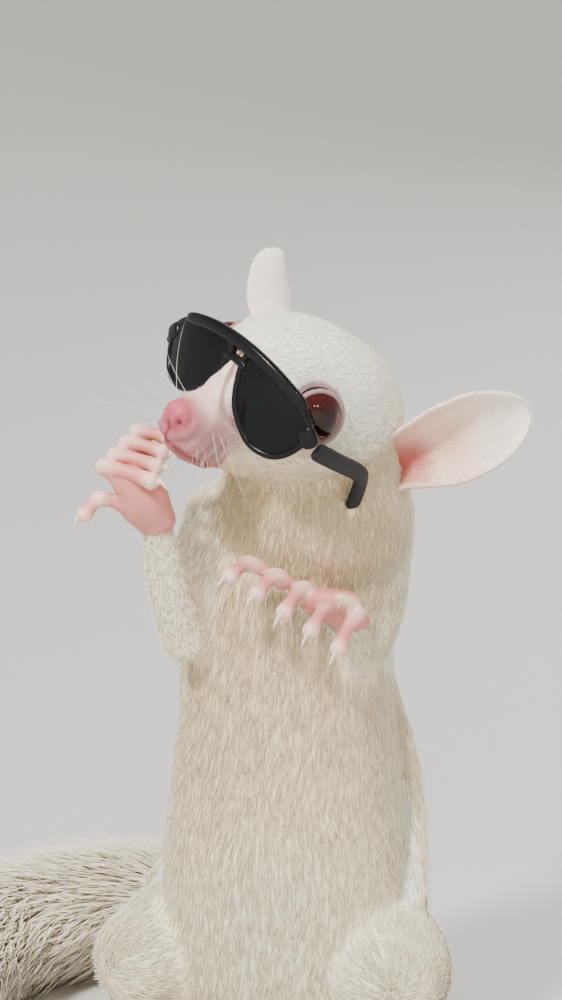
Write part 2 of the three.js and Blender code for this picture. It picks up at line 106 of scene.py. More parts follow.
def blend(first: Array, second: Array | Colour, share: Array) -> Array:
    """first and second mixed row by row.

    Args:
        first: rows of numbers.
        second: rows of numbers or one row for all.
        share: how much of the second each row takes, from 0 to 1.

    Returns:
        The mixed rows.
    """
    return first + (np.asarray(second) - first) * np.clip(share, 0, 1)[:, None]


def spline(points: Array, t: Array) -> Array:
    """A smooth curve through rows of points, the Catmull-Rom cubic of each stretch.

    Args:
        points: rows of numbers that the curve passes in turn.
        t: places along it, 0 at the first row and 1 at the last.

    Returns:
        One row for each place.
    """
    padded = np.vstack([2 * points[0] - points[1], points, 2 * points[-1] - points[-2]])
    place = np.clip(t, 0, 1) * (len(points) - 1)
    k = np.minimum(place.astype(int), len(points) - 2)
    u = (place - k)[:, None]
    a, b, c, d = (padded[k + i] for i in range(4))
    cubic = (3 * b - a - 3 * c + d) * u**3
    return 0.5 * (2 * b + (c - a) * u + (2 * a - 5 * b + 4 * c - d) * u**2 + cubic)


class HeadFrame:
    """The head's own axes: x forward, y to its left, z up, from the point midway between the eyes."""

    def __init__(self) -> None:
        """Works out the three axes from the head's turn and tilt."""
        forward = np.array([-math.sin(HEAD_YAW), -math.cos(HEAD_YAW), 0.0])
        level = np.array([math.cos(HEAD_YAW), -math.sin(HEAD_YAW), 0.0])
        rise = np.array([0.0, 0.0, 1.0])
        left = level * math.cos(HEAD_ROLL) - rise * math.sin(HEAD_ROLL)
        up = rise * math.cos(HEAD_ROLL) + level * math.sin(HEAD_ROLL)
        self.axes = np.stack([forward, left, up])

    def out(self, points: Array) -> Array:
        """Head coordinates turned into those of the row frame."""
        return EYE_MIDDLE + np.asarray(points, float) @ self.axes

    def into(self, points: Array) -> Array:
        """Row coordinates turned into those of the head."""
        return (points - EYE_MIDDLE) @ self.axes.T

    def turn(self, vectors: Array) -> Array:
        """Head directions turned into those of the row frame."""
        return np.asarray(vectors, float) @ self.axes


HEAD = HeadFrame()


@dataclass
class Surface:
    """A closed surface: vertices in millimetres and faces as rows of three or four indices."""

    vertices: Array
    faces: list[Array]

    def outward(self) -> "Surface":
        """Turns the faces round if the enclosed volume, the sum of a · (b × c) / 6, comes out negative."""
        fans = [f[:, [0, i, i + 1]] for f in self.faces for i in range(1, f.shape[1] - 1)]
        a, b, c = (self.vertices[corner] for corner in np.vstack(fans).T)
        if np.einsum("ij,ij->i", a, np.cross(b, c)).sum() < 0:
            self.faces = [f[:, ::-1] for f in self.faces]
        return self


def join(parts: list[Surface]) -> Surface:
    """Several surfaces as one, each keeping its own vertices."""
    starts = np.cumsum([0] + [len(p.vertices) for p in parts])
    faces = [f + starts[i] for i, p in enumerate(parts) for f in p.faces]
    return Surface(np.vstack([p.vertices for p in parts]), faces)


def grid_faces(rows: int, columns: int, loop_rows: bool = False) -> Array:
    """Quads of a grid whose rows close on themselves.

    Args:
        rows: how many rows there are.
        columns: points in each row.
        loop_rows: whether the last row joins the first.

    Returns:
        Rows of four indices.
    """
    k, i = np.meshgrid(np.arange(rows if loop_rows else rows - 1), np.arange(columns), indexing="ij")
    j = (i + 1) % columns
    n = (k + 1) % rows
    return np.stack([k * columns + i, k * columns + j, n * columns + j, n * columns + i], -1).reshape(-1, 4)


def capped(rings: Array) -> Surface:
    """Rings of points closed by a fan at each end.

    Args:
        rings: an array of rings by points by three.

    Returns:
        The closed surface.
    """
    rows, columns = rings.shape[:2]
    poles = np.stack([rings[0].mean(0), rings[-1].mean(0)])
    i = np.arange(columns)
    j = (i + 1) % columns
    last = (rows - 1) * columns
    start = np.stack([np.full(columns, rows * columns), j, i], -1)
    end = np.stack([np.full(columns, rows * columns + 1), last + i, last + j], -1)
    vertices = np.vstack([rings.reshape(-1, 3), poles])
    return Surface(vertices, [grid_faces(rows, columns), np.vstack([start, end])]).outward()


def capped_on_head(rings: Array) -> Surface:
    """The same for rings in the head's frame, turned into the row frame."""
    made = capped(rings)
    made.vertices = HEAD.out(made.vertices)
    return made


def tube(line: Array, radius: Array, sides: int, hint: Triple, width: float = 1.0) -> Array:
    """Rings of oval section round a line: line + radius (width across cos a + rise sin a).

    Args:
        line: its middle line.
        radius: the half height at each place.
        sides: points round the section.
        hint: a direction that the line doesn't follow.
        width: the section's width as a share of its height.

    Returns:
        An array of rings by points by three.
    """
    along = unit(np.gradient(line, axis=0))
    across = unit(np.cross(along, hint))
    rise = np.cross(across, along)
    turn = full_turn(sides)
    wide = width * np.cos(turn)[None, :, None] * across[:, None]
    shape = wide + np.sin(turn)[None, :, None] * rise[:, None]
    return line[:, None] + radius[:, None, None] * shape


@dataclass(frozen=True)
class Coat:
    """How fur grows on a form, in millimetres.

    The skin lies inset deep. The tufts have a length, a width and a lift, and stand as densely as cover says,
    0 being bare. The joins are smoothed for some rounds, and backwards turns the lie round.
    """

    inset: float
    length: float
    width: float
    lift: float
    cover: float
    tint: Colour
    smooth: int = 30
    backwards: bool = False


CREAM: Colour = (0.91, 0.81, 0.59)
WHITE: Colour = (0.95, 0.92, 0.81)
# Warm cream of the throat, chest and underside of the head: partly the coat's own tone, partly painted shade.
WARM_CREAM_AND_SHADE: Colour = (0.88, 0.69, 0.40)
PINK: Colour = (0.58, 0.21, 0.18)
PALE_PINK: Colour = (0.80, 0.52, 0.45)
MUZZLE_PINK: Colour = (0.44, 0.19, 0.21)
EAR_OUT: Colour = (0.86, 0.72, 0.63)
EAR_IN: Colour = (0.82, 0.49, 0.35)
EAR_DEEP: Colour = (0.42, 0.08, 0.06)
NOSE_PINK: Colour = (0.42, 0.07, 0.115)
LIP_PINK: Colour = (0.28, 0.05, 0.06)
MAUVE: Colour = (0.19, 0.08, 0.10)

BODY_COAT = Coat(0.6, 3.0, 0.11, 0.17, 1.35, CREAM, 40, True)
# The neck's warm tint is partly painted shade on the throat.
NECK_COAT = Coat(0.6, 2.5, 0.09, 0.17, 2.3, WARM_CREAM_AND_SHADE, 40, True)
HEAD_COAT = Coat(0.35, 1.3, 0.065, 0.15, 4.0, WHITE, 6, True)
ARM_COAT = Coat(0.5, 1.9, 0.09, 0.17, 2.0, CREAM, 16)
LEG_COAT = Coat(0.6, 2.8, 0.12, 0.2, 1.2, CREAM, 20)
TAIL_COAT = Coat(4.2, 8.5, 0.20, 0.85, 0.9, CREAM, 20)
FOLD_COAT = Coat(0.3, 2.0, 0.13, 0.25, 1.2, WHITE, 8)
EAR_COAT = Coat(0.0, 0.8, 0.05, 0.2, 2.4, EAR_OUT, 0)
HAND_COAT = Coat(0.05, 0.6, 0.06, 0.2, 0.0, PINK, 1)
NOSE_COAT = Coat(0.0, 0.4, 0.06, 0.2, 0.0, NOSE_PINK, 2)


@dataclass(frozen=True)
class Form:
    """A fleshy form: a round-ended tube through stations of x, y, z, half width, front and back depth."""

    name: str
    stations: Array
    coat: Coat
    side: Triple = (1.0, 0.0, 0.0)
    ends: tuple[float, float] = (0.8, 0.8)
    of_head: bool = False

    def spine(self, t: Array) -> tuple[Array, Array, Array]:
        """The middle line, its direction and the half sizes.

        Args:
            t: places along the form from 0 to 1.

        Returns:
            Points, unit directions and rows of half width, front depth and back depth.
        """
        small = 1e-3
        line = self.stations[:, :3]
        ahead = spline(line, np.clip(t + small, 0, 1)) - spline(line, np.clip(t - small, 0, 1))
        return spline(line, t), unit(ahead), spline(self.stations[:, 3:], t)

    def surface(self, sides: int = 40, steps: int = 48, caps: int = 6) -> Surface:
        """The form's skin, sunk by its coat's depth: centre + across cos a (width) + front sin a (depth).

        Args:
            sides: points round each ring.
            steps: rings along the form.
            caps: rings on each rounded end, whose radius falls as a quarter circle.

        Returns:
            The closed surface in the row frame.
        """
        quarter = np.arange(1, caps + 1) / (caps + 1) * (math.pi / 2)
        t = np.concatenate([np.zeros(caps), np.linspace(0, 1, steps + 1), np.ones(caps)])
        fall, swell = np.cos(quarter), np.sin(quarter)
        first, last = self.ends
        shrink = np.concatenate([fall[::-1], np.ones(steps + 1), fall])
        bulge = np.concatenate([-swell[::-1] * first, np.zeros(steps + 1), swell * last])
        centre, along, sizes = self.spine(t)
        sizes = np.maximum(sizes - self.coat.inset, 0.15)
        centre = centre + along * (bulge * sizes[:, 0])[:, None]
        side = np.asarray(self.side)
        across = unit(side - (along @ side)[:, None] * along)
        front = np.cross(across, along)
        angle = 2 * math.pi * np.arange(sides) / sides
        wide = np.cos(angle) * (sizes[:, :1] * shrink[:, None])
        depth = np.where(np.sin(angle) > 0, sizes[:, 1:2], sizes[:, 2:3]) * np.sin(angle) * shrink[:, None]
        rings = centre[:, None] + wide[..., None] * across[:, None] + depth[..., None] * front[:, None]
        return capped_on_head(rings) if self.of_head else capped(rings)


def stations(*rows: tuple[float, ...]) -> Array:
    """Rows of place and half sizes, with the depths left out taken from the size before them."""
    return np.array([(r + (r[-1],) * 6)[:6] for r in rows], float)


def mirrored(rows: Array, sign: int) -> Array:
    """Stations on the other side of the body where sign is -1."""
    return rows * np.array([sign, 1, 1, 1, 1, 1])


@dataclass(frozen=True)
class Paw:
    """A hand or foot: a palm and five digits whose bases, knuckles and tips lie on straight lines."""

    name: str
    palm: Array
    bases: tuple[Triple, Triple]
    knuckles: tuple[Triple, Triple]
    tips: tuple[Triple, Triple]
    hook: Triple
    bare: int = -1
    thumb: tuple[Triple, ...] = ()

    def points(self, i: int) -> Array:
        """The base, knuckle and tip of digit i."""
        if i == 0 and self.thumb:
            return np.array(self.thumb)
        share = i / (DIGITS - 1)
        lines = (self.bases, self.knuckles, self.tips)
        return np.array([np.array(a) + share * (np.array(b) - np.array(a)) for a, b in lines])

    def forms(self) -> list[Form]:
        """The palm and the digits, each thicker at its knuckles and pad."""
        made = [Form(self.name + "_palm", self.palm, HAND_COAT)]
        for i in range(DIGITS):
            base, knuckle, tip = self.points(i)
            arch = np.array([0, 0, 0.25])
            rows = stations(
                (*base, 1.4),
                (*(base + knuckle) / 2 + arch, 1.08),
                (*knuckle, 1.34),
                (*(knuckle + tip) / 2 + arch, 1.0),
                (*(0.2 * knuckle + 0.8 * tip) + arch / 2, 1.16),
                (*tip, 1.34),
            )
            made.append(Form(f"{self.name}_digit_{i}", rows, HAND_COAT))
        return made


LEFT_HAND = Paw(
    "hand_left",
    stations((15.5, -17, 77.5, 2.9, 2.2), (14.8, -19.5, 79.8, 4.2, 2.4), (13.6, -22, 80.6, 4.8, 2)),
    ((7.6, -23.4, 83.4), (18.2, -19, 77.6)),
    ((3.6, -27.4, 86.4), (18.4, -22.1, 79)),
    ((2.2, -31.4, 84.8), (17.1, -26.6, 74.4)),
    (-0.4, -0.4, -1.2),
)
RIGHT_HAND = Paw(
    "hand_right",
    stations((-9.8, -30, 92.5, 3.1, 2.6), (-11.2, -31.6, 95.5, 4, 3.6), (-12.4, -32.2, 99, 2.8, 4.2)),
    ((-13.7, -36.8, 96.3), (-11, -28.8, 101.6)),
    ((-16.4, -38.2, 99), (-13.1, -29.5, 105.5)),
    ((-7.9, -38.2, 96.6), (-7.9, -29.5, 104.5)),
    (0.2, 0, -1.2),
    thumb=((-13.4, -33.6, 95), (-16.4, -35.4, 95.8), (-18.4, -36.4, 93.6)),
)


def foot(side: str, sign: int) -> Paw:
    """A hind foot, flat on the floor, whose first digit has no claw.

    Args:
        side: left or right.
        sign: 1 for the left one and -1 for the right one.

    Returns:
        The foot.
    """
    pad = DIGIT_RADIUS - 0.1
    palm = stations((20.5, -1, 2.4, 3.4, 2.8), (21, -9, 2.1, 4.2, 2.5), (21.5, -16, 1.9, 4.6, 2.2))
    return Paw(
        "foot_" + side,
        mirrored(palm, sign),
        ((17.6 * sign, -15, 1.7), (25.4 * sign, -14, 1.7)),
        ((15.4 * sign, -18.5, 2.5), (27.8 * sign, -18, 2.4)),
        ((14 * sign, -22.5, pad), (31.5 * sign, -22, pad)),
        (0, 0, -0.6),
        0,
    )


def head_stations() -> Array:
    """The head's stations along its x axis, from sections of x, half width, top and bottom."""
    sections = np.array([
        (-21, 8.5, 1.8, -9.5),
        (-16.5, 12, 6.8, -12.5),
        (-10, 14.3, 9.3, -14),
        (-3, 14.4, 10.7, -14.8),
        (3, 12.4, 9.9, -15.2),
        (8, 8.4, 7, -15.2),
        (12.5, 5.3, 2.2, -14),
        (16, 4.3, -0.6, -11.9),
        (18.6, 3.5, -2.1, -9),
    ])
    x, wide, top, bottom = sections.T
    waist = (top + bottom) / 2
    return np.stack([x, 0 * x, waist, wide, top - waist, waist - bottom], -1)


@dataclass(frozen=True)
class Ear:
    """A thin curled leaf in the head's frame: arcs across a middle line, which turn towards the opening."""

    name: str
    at: Triple
    along: Triple
    open: Triple
    length: float = 20.5
    half_width: float = 7.7
    wall: float = 0.85

    def axes(self) -> tuple[Array, Array, Array]:
        """Unit vectors along the ear, towards its opening and across it."""
        axis = unit(np.array(self.along))
        face = np.array(self.open)
        face = unit(face - (face @ axis) * axis)
        return axis, face, np.cross(axis, face)

    def surface(self, rows: int = 46, columns: int = 40) -> Surface:
        """The wall between two arcs: middle + (r ± w) (across sin a - face cos a), narrowing to the tip.

        Args:
            rows: arcs along the ear.
            columns: points across each arc.

        Returns:
            The closed wall in the row frame.
        """
        axis, face, side = self.axes()
        t = np.linspace(-0.12, 1, rows)
        taper = np.sqrt(np.maximum(1 - np.maximum((t - 0.35) / 0.665, 0) ** 2.2, 0.004))
        half = self.half_width * (0.8 + 0.2 * np.clip(t / 0.35, 0, 1)) * taper
        curl = 1.5 - 0.65 * np.clip(t / 0.7, 0, 1)
        radius = half / curl
        centre = np.array(self.at) + t[:, None] * self.length * axis + (radius - 2.2 * t * t)[:, None] * face
        angle = np.linspace(-1, 1, columns) * curl[:, None]
        thin = self.wall / 2 * (1 - 0.35 * np.abs(np.linspace(-1, 1, columns)) ** 3)

        def arc(offset: Array) -> Array:
            """The arcs at an offset from the middle of the wall."""
            reach = radius[:, None] + offset
            wide, deep = reach * np.sin(angle), reach * np.cos(angle)
            return centre[:, None] + wide[..., None] * side - deep[..., None] * face

        rings = np.concatenate([arc(thin), arc(-thin)[:, ::-1]], axis=1)
        count = 2 * columns
        i = np.arange(columns - 1)
        cap = np.stack([i, i + 1, count - 2 - i, count - 1 - i], -1)
        vertices = HEAD.out(rings.reshape(-1, 3))
        return Surface(vertices, [grid_faces(rows, count), cap[:, ::-1], cap + (rows - 1) * count]).outward()

    def form(self) -> Form:
        """A stand-in tube along the ear's middle line, to find what belongs to it."""
        axis, face, _ = self.axes()
        line = [np.array(self.at) + axis * self.length * t + face * 1.5 for t in np.linspace(0.12, 1, 6)]
        rows = [(*HEAD.out(p), 6.5, 6.5, 6.5) for p in line]
        return Form(self.name, np.array(rows), EAR_COAT)


EARS = (
    Ear("ear_left", (-16.5, 13, -3), (-0.36, 0.52, 0.74), (0.75, 0.62, 0.1)),
    Ear("ear_right", (-15.5, -12.5, -1), (-0.35, -0.87, 0.25), (0.5, 0.1, -0.8)),
)


def tail_stations() -> Array:
    """The tail's stations, laid on the floor round the animal's right side, from rows of x, y and radius."""
    rows = np.array([
        (0, 12, 8.5),
        (-3, 25, 9.5),
        (-14, 41, 11.5),
        (-34, 49, 12.5),
        (-53, 41, 12.8),
        (-63, 22, 12.5),
        (-63, -1, 11.5),
        (-55, -20, 9.5),
        (-43, -34, 6),
    ])
    x, y, radius = rows.T
    return np.stack([x, y, radius - 0.5, radius, radius, radius], -1)


ARMS = {
    "arm_left": ((14.5, -3, 88, 7.2, 7), (14.6, -4.5, 78, 6.3, 6.2), (13, -5, 69.5, 4.8, 5)),
    "arm_right": ((-6, -10, 91.5, 8, 7.8), (-8.8, -15, 82, 6.5, 6.3), (-9.6, -18, 74, 4.8, 4.8)),
    "forearm_left": ((13, -6, 68.5, 4.5, 4.4), (14.5, -11.5, 71.5, 3.8, 3.7), (15.5, -17, 77, 2.8, 2.4)),
    "forearm_right": ((-9.6, -19, 73.5, 4.4, 4.4), (-10, -25, 82, 3.8, 3.6), (-9.8, -30, 92, 2.8, 2.4)),
}
FOLDS = {
    "fold_left": (
        (14.5, 0, 66, 4.2, 1.9),
        (15.5, 4, 54, 5.8, 1.9),
        (17.5, 4, 42, 5.4, 1.9),
        (20, -2, 31, 4.4, 1.9),
    ),
    "fold_right": (
        (-11, -10, 71, 4.2, 1.9),
        (-13.5, 0, 58, 5.8, 1.9),
        (-17, 4, 44, 5.4, 1.9),
        (-20, -2, 31, 4.4, 1.9),
    ),
}


def body_forms() -> list[Form]:
    """Every fleshy form but the ears, from the rump outwards."""
    torso = stations(
        (0, 1, 6, 16, 14, 15),
        (0, 0, 18, 20, 18, 18),
        (0, -1, 34, 20.5, 19, 18),
        (0.5, -2, 54, 18.5, 18, 17),
        (2, -4, 72, 16.5, 16.5, 16),
        (4, -6, 85, 15.5, 15, 15.5),
        (4.8, -6.4, 89, 13, 12.5, 13),
    )
    neck = stations(
        (4.4, -6, 82, 12.6, 12, 12.6),
        (6.6, -7.6, 91, 16.4, 15.4, 15),
        (8.5, -9.5, 101, 14, 14, 12.5),
        (9.5, -11, 107, 11.5, 11.5, 10.5),
    )
    nose = stations((17.4, 0, -4.6, 2.5, 2), (19.5, 0, -4.8, 2.3, 2.1))
    thigh = stations((11, 3, 17.5, 14, 13), (17, -5, 21, 12.5, 12), (20.5, -13, 21.5, 8.5, 8.5))
    shin = stations((21, -13, 19, 6, 6), (21, -8.5, 11.5, 5.2, 5), (20.5, -3, 5, 4, 3.8))
    muzzle_pad = stations((12.5, 1.9, -8.8, 3.7, 3.8), (16.4, 1.8, -7.8, 2.9, 3.1))
    made = [
        Form("torso", torso, BODY_COAT, ends=(0.44, 0.5)),
        Form("neck", neck, NECK_COAT),
        Form("head", head_stations(), HEAD_COAT, side=(0, -1, 0), ends=(0.5, 0.4), of_head=True),
        Form("nose", nose, NOSE_COAT, side=(0, -1, 0), ends=(0.3, 0.7), of_head=True),
        *(Form(name, stations(*rows), ARM_COAT) for name, rows in ARMS.items()),
        *(Form(name, stations(*rows), FOLD_COAT, ends=(0.5, 0.5)) for name, rows in FOLDS.items()),
        Form("tail", tail_stations(), TAIL_COAT, side=(0, 0, 1), ends=(0.35, 1.6)),
    ]
    for side, sign in SIDES:
        pad = muzzle_pad * np.array([1, sign, 1, 1, 1, 1])
        made.append(Form("pad_" + side, pad, HEAD_COAT, side=(0, -1, 0), of_head=True))
        made.append(Form("thigh_" + side, mirrored(thigh, sign), LEG_COAT, side=(0, 0, 1)))
        made.append(Form("shin_" + side, mirrored(shin, sign), LEG_COAT))
    for paw in PAWS:
        made.extend(paw.forms())
    return made


PAWS = (LEFT_HAND, RIGHT_HAND, foot("left", 1), foot("right", -1))


def eye_axes(sign: int) -> tuple[Array, Array, Array]:
    """Unit vectors of the head's frame: the way an eye looks, across it and up it."""
    look = unit(EYE_LOOK * np.array([1, sign, 1]))
    across = unit(np.cross(look, [0, 0, 1.0]))
    return look, across, np.cross(across, look)


def lid_ring(sign: int, steps: int = 48, sides: int = 12) -> Surface:
    """The fold of lid round an eye, a ring of round section that faces the way the eye looks.

    Args:
        sign: 1 for the left eye and -1 for the right one.
        steps: places round the eye.
        sides: points round the section.

    Returns:
        The closed ring in the row frame.
    """
    look, across, rise = eye_axes(sign)
    centre = EYE_PLACES[sign] + look * EYE_RADIUS * LID_FORWARD
    turn, section = full_turn(steps), full_turn(sides)
    radial = np.cos(turn)[:, None] * across + np.sin(turn)[:, None] * rise
    reach = EYE_RADIUS - LID_OVERLAP + LID_RADIUS * np.cos(section)
    depth = LID_RADIUS * np.sin(section)
    points = centre + reach[None, :, None] * radial[:, None] + depth[None, :, None] * look
    return Surface(HEAD.out(points.reshape(-1, 3)), [grid_faces(steps, sides, True)]).outward()


def make_mesh(name: str, made: Surface) -> Mesh:
    """A Blender mesh of a surface, in metres and smooth shaded.

    Args:
        name: the mesh's name.
        made: the surface, in millimetres.

    Returns:
        The mesh.
    """
    mesh = bpy.data.meshes.new(name)
    corners = np.concatenate([f.ravel() for f in made.faces])
    sizes = np.concatenate([np.full(len(f), f.shape[1]) for f in made.faces])
    starts = np.concatenate([[0], np.cumsum(sizes)[:-1]])
    mesh.vertices.add(len(made.vertices))
    mesh.loops.add(len(corners))
    mesh.polygons.add(len(sizes))
    mesh.vertices.foreach_set("co", (made.vertices * MM).astype(np.float32).ravel())
    mesh.loops.foreach_set("vertex_index", corners.astype(np.int32))
    mesh.polygons.foreach_set("loop_start", starts.astype(np.int32))
    mesh.polygons.foreach_set("use_smooth", np.ones(len(sizes), bool))
    mesh.update(calc_edges=True)
    return mesh


def place(name: str, mesh: Mesh, material: Material, slot: str, *nodes: str) -> None:
    """Puts a finished mesh in the scene, on the root body.

    Args:
        name: the piece's name.
        mesh: its mesh, in metres in the row frame.
        material: its finish.
        slot: the record's material slot; not used.
        *nodes: the CAD nodes that it stands for.
    """
    mesh.materials.clear()
    mesh.materials.append(material)
    piece = bpy.data.objects.new(name, mesh)
    bpy.context.scene.collection.objects.link(piece)
    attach(piece, "root")
    if nodes:
        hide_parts(*nodes)
    log.info("%s: %d vertices, %d faces", name, len(mesh.vertices), len(mesh.polygons))


def paint(mesh: Mesh, tint: Array) -> None:
    """Writes a colour for each vertex into the attribute that the finishes read."""
    colour = np.ones((len(tint), 4), np.float32)
    colour[:, :3] = np.clip(tint, 0, 1)
    mesh.color_attributes.new("tint", "FLOAT_COLOR", "POINT").data.foreach_set("color", colour.ravel())


def modified(mesh: Mesh, kind: str, weights: Array | None = None, **settings: Any) -> Mesh:
    """The mesh after one modifier.

    Args:
        mesh: the mesh to change.
        kind: the modifier's type.
        weights: a weight for each vertex, if the modifier reads a group.
        **settings: the modifier's settings.

    Returns:
        A new mesh.
    """
    holder = bpy.data.objects.new("holder", mesh)
    bpy.context.scene.collection.objects.link(holder)
    if weights is not None:
        group = holder.vertex_groups.new(name="weights")
        for level in np.unique(weights):
            group.add(np.nonzero(weights == level)[0].tolist(), float(level), "REPLACE")
        settings["vertex_group"] = "weights"
    modifier = holder.modifiers.new("change", kind)
    for key, value in settings.items():
        setattr(modifier, key, value)
    bpy.context.view_layer.update()
    result = bpy.data.meshes.new_from_object(holder.evaluated_get(bpy.context.evaluated_depsgraph_get()))
    bpy.data.objects.remove(holder)
    return result


class Net:
    """A mesh as arrays, in millimetres: its points, edges and normals, and averages over neighbours."""

    def __init__(self, mesh: Mesh) -> None:
        """Reads the arrays of a mesh."""
        self.mesh = mesh
        self.points = self.rows_of(mesh.vertices, "co", 3, np.float32).astype(float) / MM
        self.edges = self.rows_of(mesh.edges, "vertices", 2, np.int32)
        self.degree = np.maximum(np.bincount(self.edges.ravel(), minlength=len(self.points)), 1)[:, None]

    @staticmethod
    def rows_of(collection: Any, key: str, width: int, kind: Any) -> Array:
        """One property of every item as rows."""
        values = np.empty(len(collection) * width, kind)
        collection.foreach_get(key, values)
        return values.reshape(-1, width)

    def average(self, values: Array) -> Array:
        """Each vertex's mean over its neighbours."""
        a, b = self.edges.T
        size = len(self.points)
        total = [np.bincount(a, row[b], size) + np.bincount(b, row[a], size) for row in values.T]
        return np.stack(total, -1) / self.degree

    def relax(self, values: Array, rounds: int) -> Array:
        """Values after rounds of averaging."""
        for _ in range(rounds):
            values = 0.5 * values + 0.5 * self.average(values)
        return values

    def normals(self) -> Array:
        """The vertex normals of the points as they are now."""
        self.store()
        return self.rows_of(self.mesh.vertex_normals, "vector", 3, np.float32).astype(float)

    def store(self) -> None:
        """Writes the points back into the mesh."""
        self.mesh.vertices.foreach_set("co", (self.points * MM).astype(np.float32).ravel())
        self.mesh.update()


@dataclass
class Belonging:
    """Which form each point belongs to, how far along it and which way round."""

    label: Array
    t: Array
    along: Array
    angle: Array


def belong(points: Array, forms: list[Form], samples: int = 26) -> Belonging:
    """Finds each point's form: the one whose middle line is nearest, counted in that form's own radius.

    Args:
        points: rows in millimetres.
        forms: the forms to choose from.
        samples: places tried along each form.

    Returns:
        The form's number, the place along it, its direction there and the angle round it.
    """
    count = len(points)
    best = np.full(count, 1e9)
    found = Belonging(np.zeros(count, int), np.zeros(count), np.zeros((count, 3)), np.zeros(count))
    t = np.linspace(0, 1, samples)
    for number, form in enumerate(forms):
        line, along, sizes = form.spine(t)
        radius = np.maximum(sizes.mean(1) - form.coat.inset, 0.6)
        if form.of_head:
            line, along = HEAD.out(line), HEAD.turn(along)
        reach = radius.max() * 1.7 + 1
        near = np.nonzero(((points > line.min(0) - reach) & (points < line.max(0) + reach)).all(1))[0]
        if not len(near):
            continue
        gaps = np.linalg.norm(points[near, None] - line, axis=2) / radius
        nearest = gaps.argmin(1)
        value = gaps[np.arange(len(near)), nearest]
        won = value < best[near]
        rows, k = near[won], nearest[won]
        best[rows] = value[won]
        offset = points[rows] - line[k]
        side = unit(np.cross(along[k], ASKEW))
        found.label[rows] = number
        found.t[rows] = t[k]
        found.along[rows] = along[k]
        found.angle[rows] = np.arctan2((offset * side).sum(1), (offset * np.cross(side, along[k])).sum(1))
    return found


@dataclass(frozen=True)
class Layer:
    """A share of the skin that is fused and thinned on its own: its finest detail and most triangles."""

    name: str
    voxel: float
    most_triangles: int


